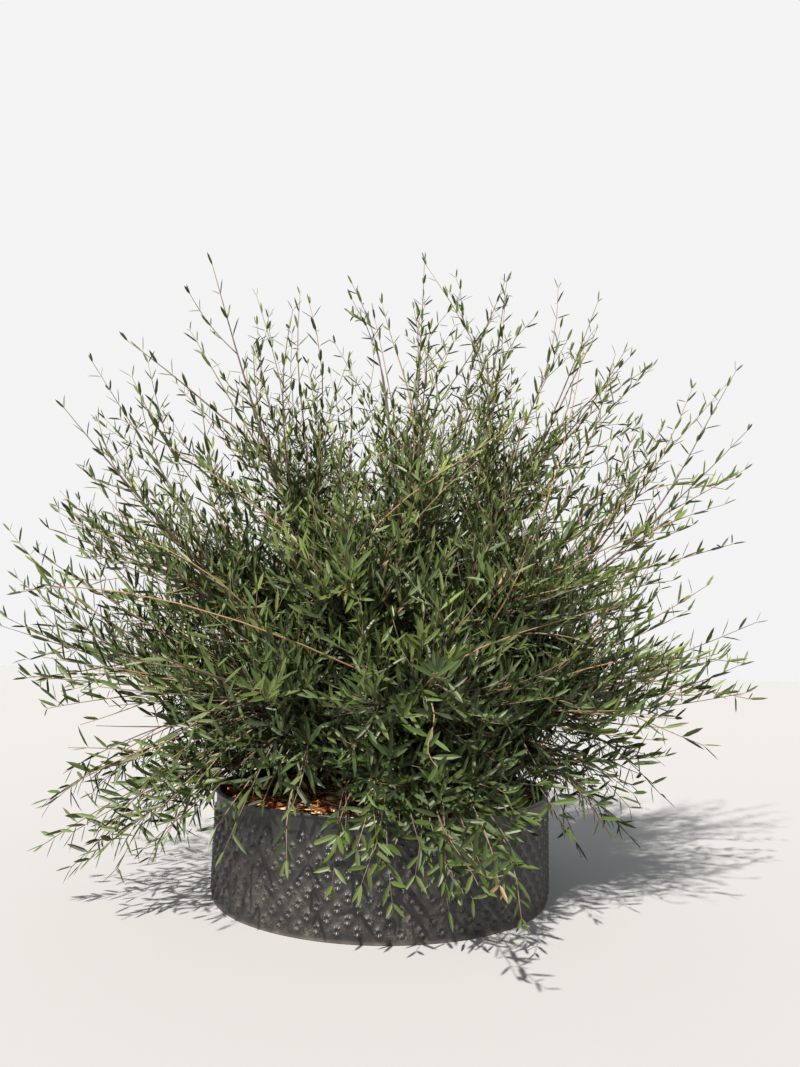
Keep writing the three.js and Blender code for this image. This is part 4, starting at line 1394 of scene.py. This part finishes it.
twig_materials = plain_materials(TWIG_TONES, 0.7, BARK_IOR)
young = (chance(shoots.seed * 5.3) * FIRST_OLDER).astype(int)
older, oldest = (
    FIRST_OLDER + (chance(stems.seed * 2.9) * 2).astype(int) for stems in (branches, leaders))
stem_kinds = (
    (shoots, young, 3, 1.7 * MM, 0.45 * MM),
    (branches, np.where(chance(branches.seed * 5.3) < 0.5, 0, older), 4, 2.1 * MM, 0.6 * MM),
    (canes, np.full(len(canes.length), CANE_TONE), 5, 1.5 * MM, 0.7 * MM),
    (leaders, oldest, 6, 3.9 * MM, 0.7 * MM),
)
for t, tier in enumerate(TIERS):
    meshes, tones = [], []
    for stems, tone, sides, root, tip in stem_kinds:
        mine = limb_tier[stems.limb] == t
        group = kept(stems, mine)
        meshes.append(tubes(group.path, taper(group, root, tip), sides))
        squares = (group.path.shape[1] - 1) * sides
        tones += [np.repeat(tone[mine], squares), np.repeat(tone[mine], 2 * sides)]
    mesh_piece(f"twigs_{tier}", *stacked(*meshes), "bark", twig_materials, np.concatenate(tones))

# %% [markdown]
# Fallen leaves and bits of straw lie on the mix. They use the leaf's form and the tube
# again, laid level a few millimetres above the mix's surface.

# %% Leaves and straw on the mix
FALLEN_LEAVES, STRAWS = 220, 130
LITTER = FALLEN_LEAVES + STRAWS
LITTER_TONES = [
    ("fallen tan leaf", "#a3764a", 3), ("fallen brown leaf", "#6b4a31", 2),
    ("fallen grey leaf", "#8f8069", 1),
]

draw, x, y = scattered(LITTER, MIX_RADIUS - 60 * MM, 11)
lying = polar(1.0, 2 * np.pi * draw.random(LITTER), 0.24 * (draw.random(LITTER) - 0.5))
foot = np.stack([x, y, mix_height(x, y) + (5 + 6 * draw.random(LITTER)) * MM], axis=-1)
size = (26 + 20 * draw.random(FALLEN_LEAVES)) * MM
curl = 0.3 * (draw.random(FALLEN_LEAVES) - 0.5)
fallen = Leaves(
    foot[:FALLEN_LEAVES], unit(lying[:FALLEN_LEAVES]), np.array([0.0, 0.2, 1.0]),
    size, size * 0.16, curl, None, None)
tones = np.repeat(dealt(draw, LITTER_TONES, FALLEN_LEAVES), len(LEAF_FACES))
mesh_piece(
    "fallen_leaves", *copies(leaf_points(fallen), LEAF_FACES), "bark_mix",
    plain_materials(LITTER_TONES, 0.8, BARK_IOR), tones, smooth=False)

length = (45 + 65 * draw.random(STRAWS)) * MM
straws = grown(
    foot[FALLEN_LEAVES:], lying[FALLEN_LEAVES:], np.zeros((STRAWS, 3)), length, None,
    draw.random(STRAWS) * 50, SHOOT_STEPS).path
straws = straws[np.hypot(straws[..., 0], straws[..., 1]).max(1) < MIX_RADIUS - 8 * MM]
lowest = mix_height(straws[..., 0], straws[..., 1]) + 5 * MM
straws[..., 2] = np.maximum(straws[..., 2], lowest)
mesh_piece(
    "straw", *tubes(straws, np.full(straws.shape[:2], 0.9 * MM), 3), "bark_mix",
    plain_materials([("dry straw", "#c9a76c")], 0.6, BARK_IOR))

# %% Sizes and finish
low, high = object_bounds()
print("visual box in metres:", [round(v, 3) for v in (*low, *high)])
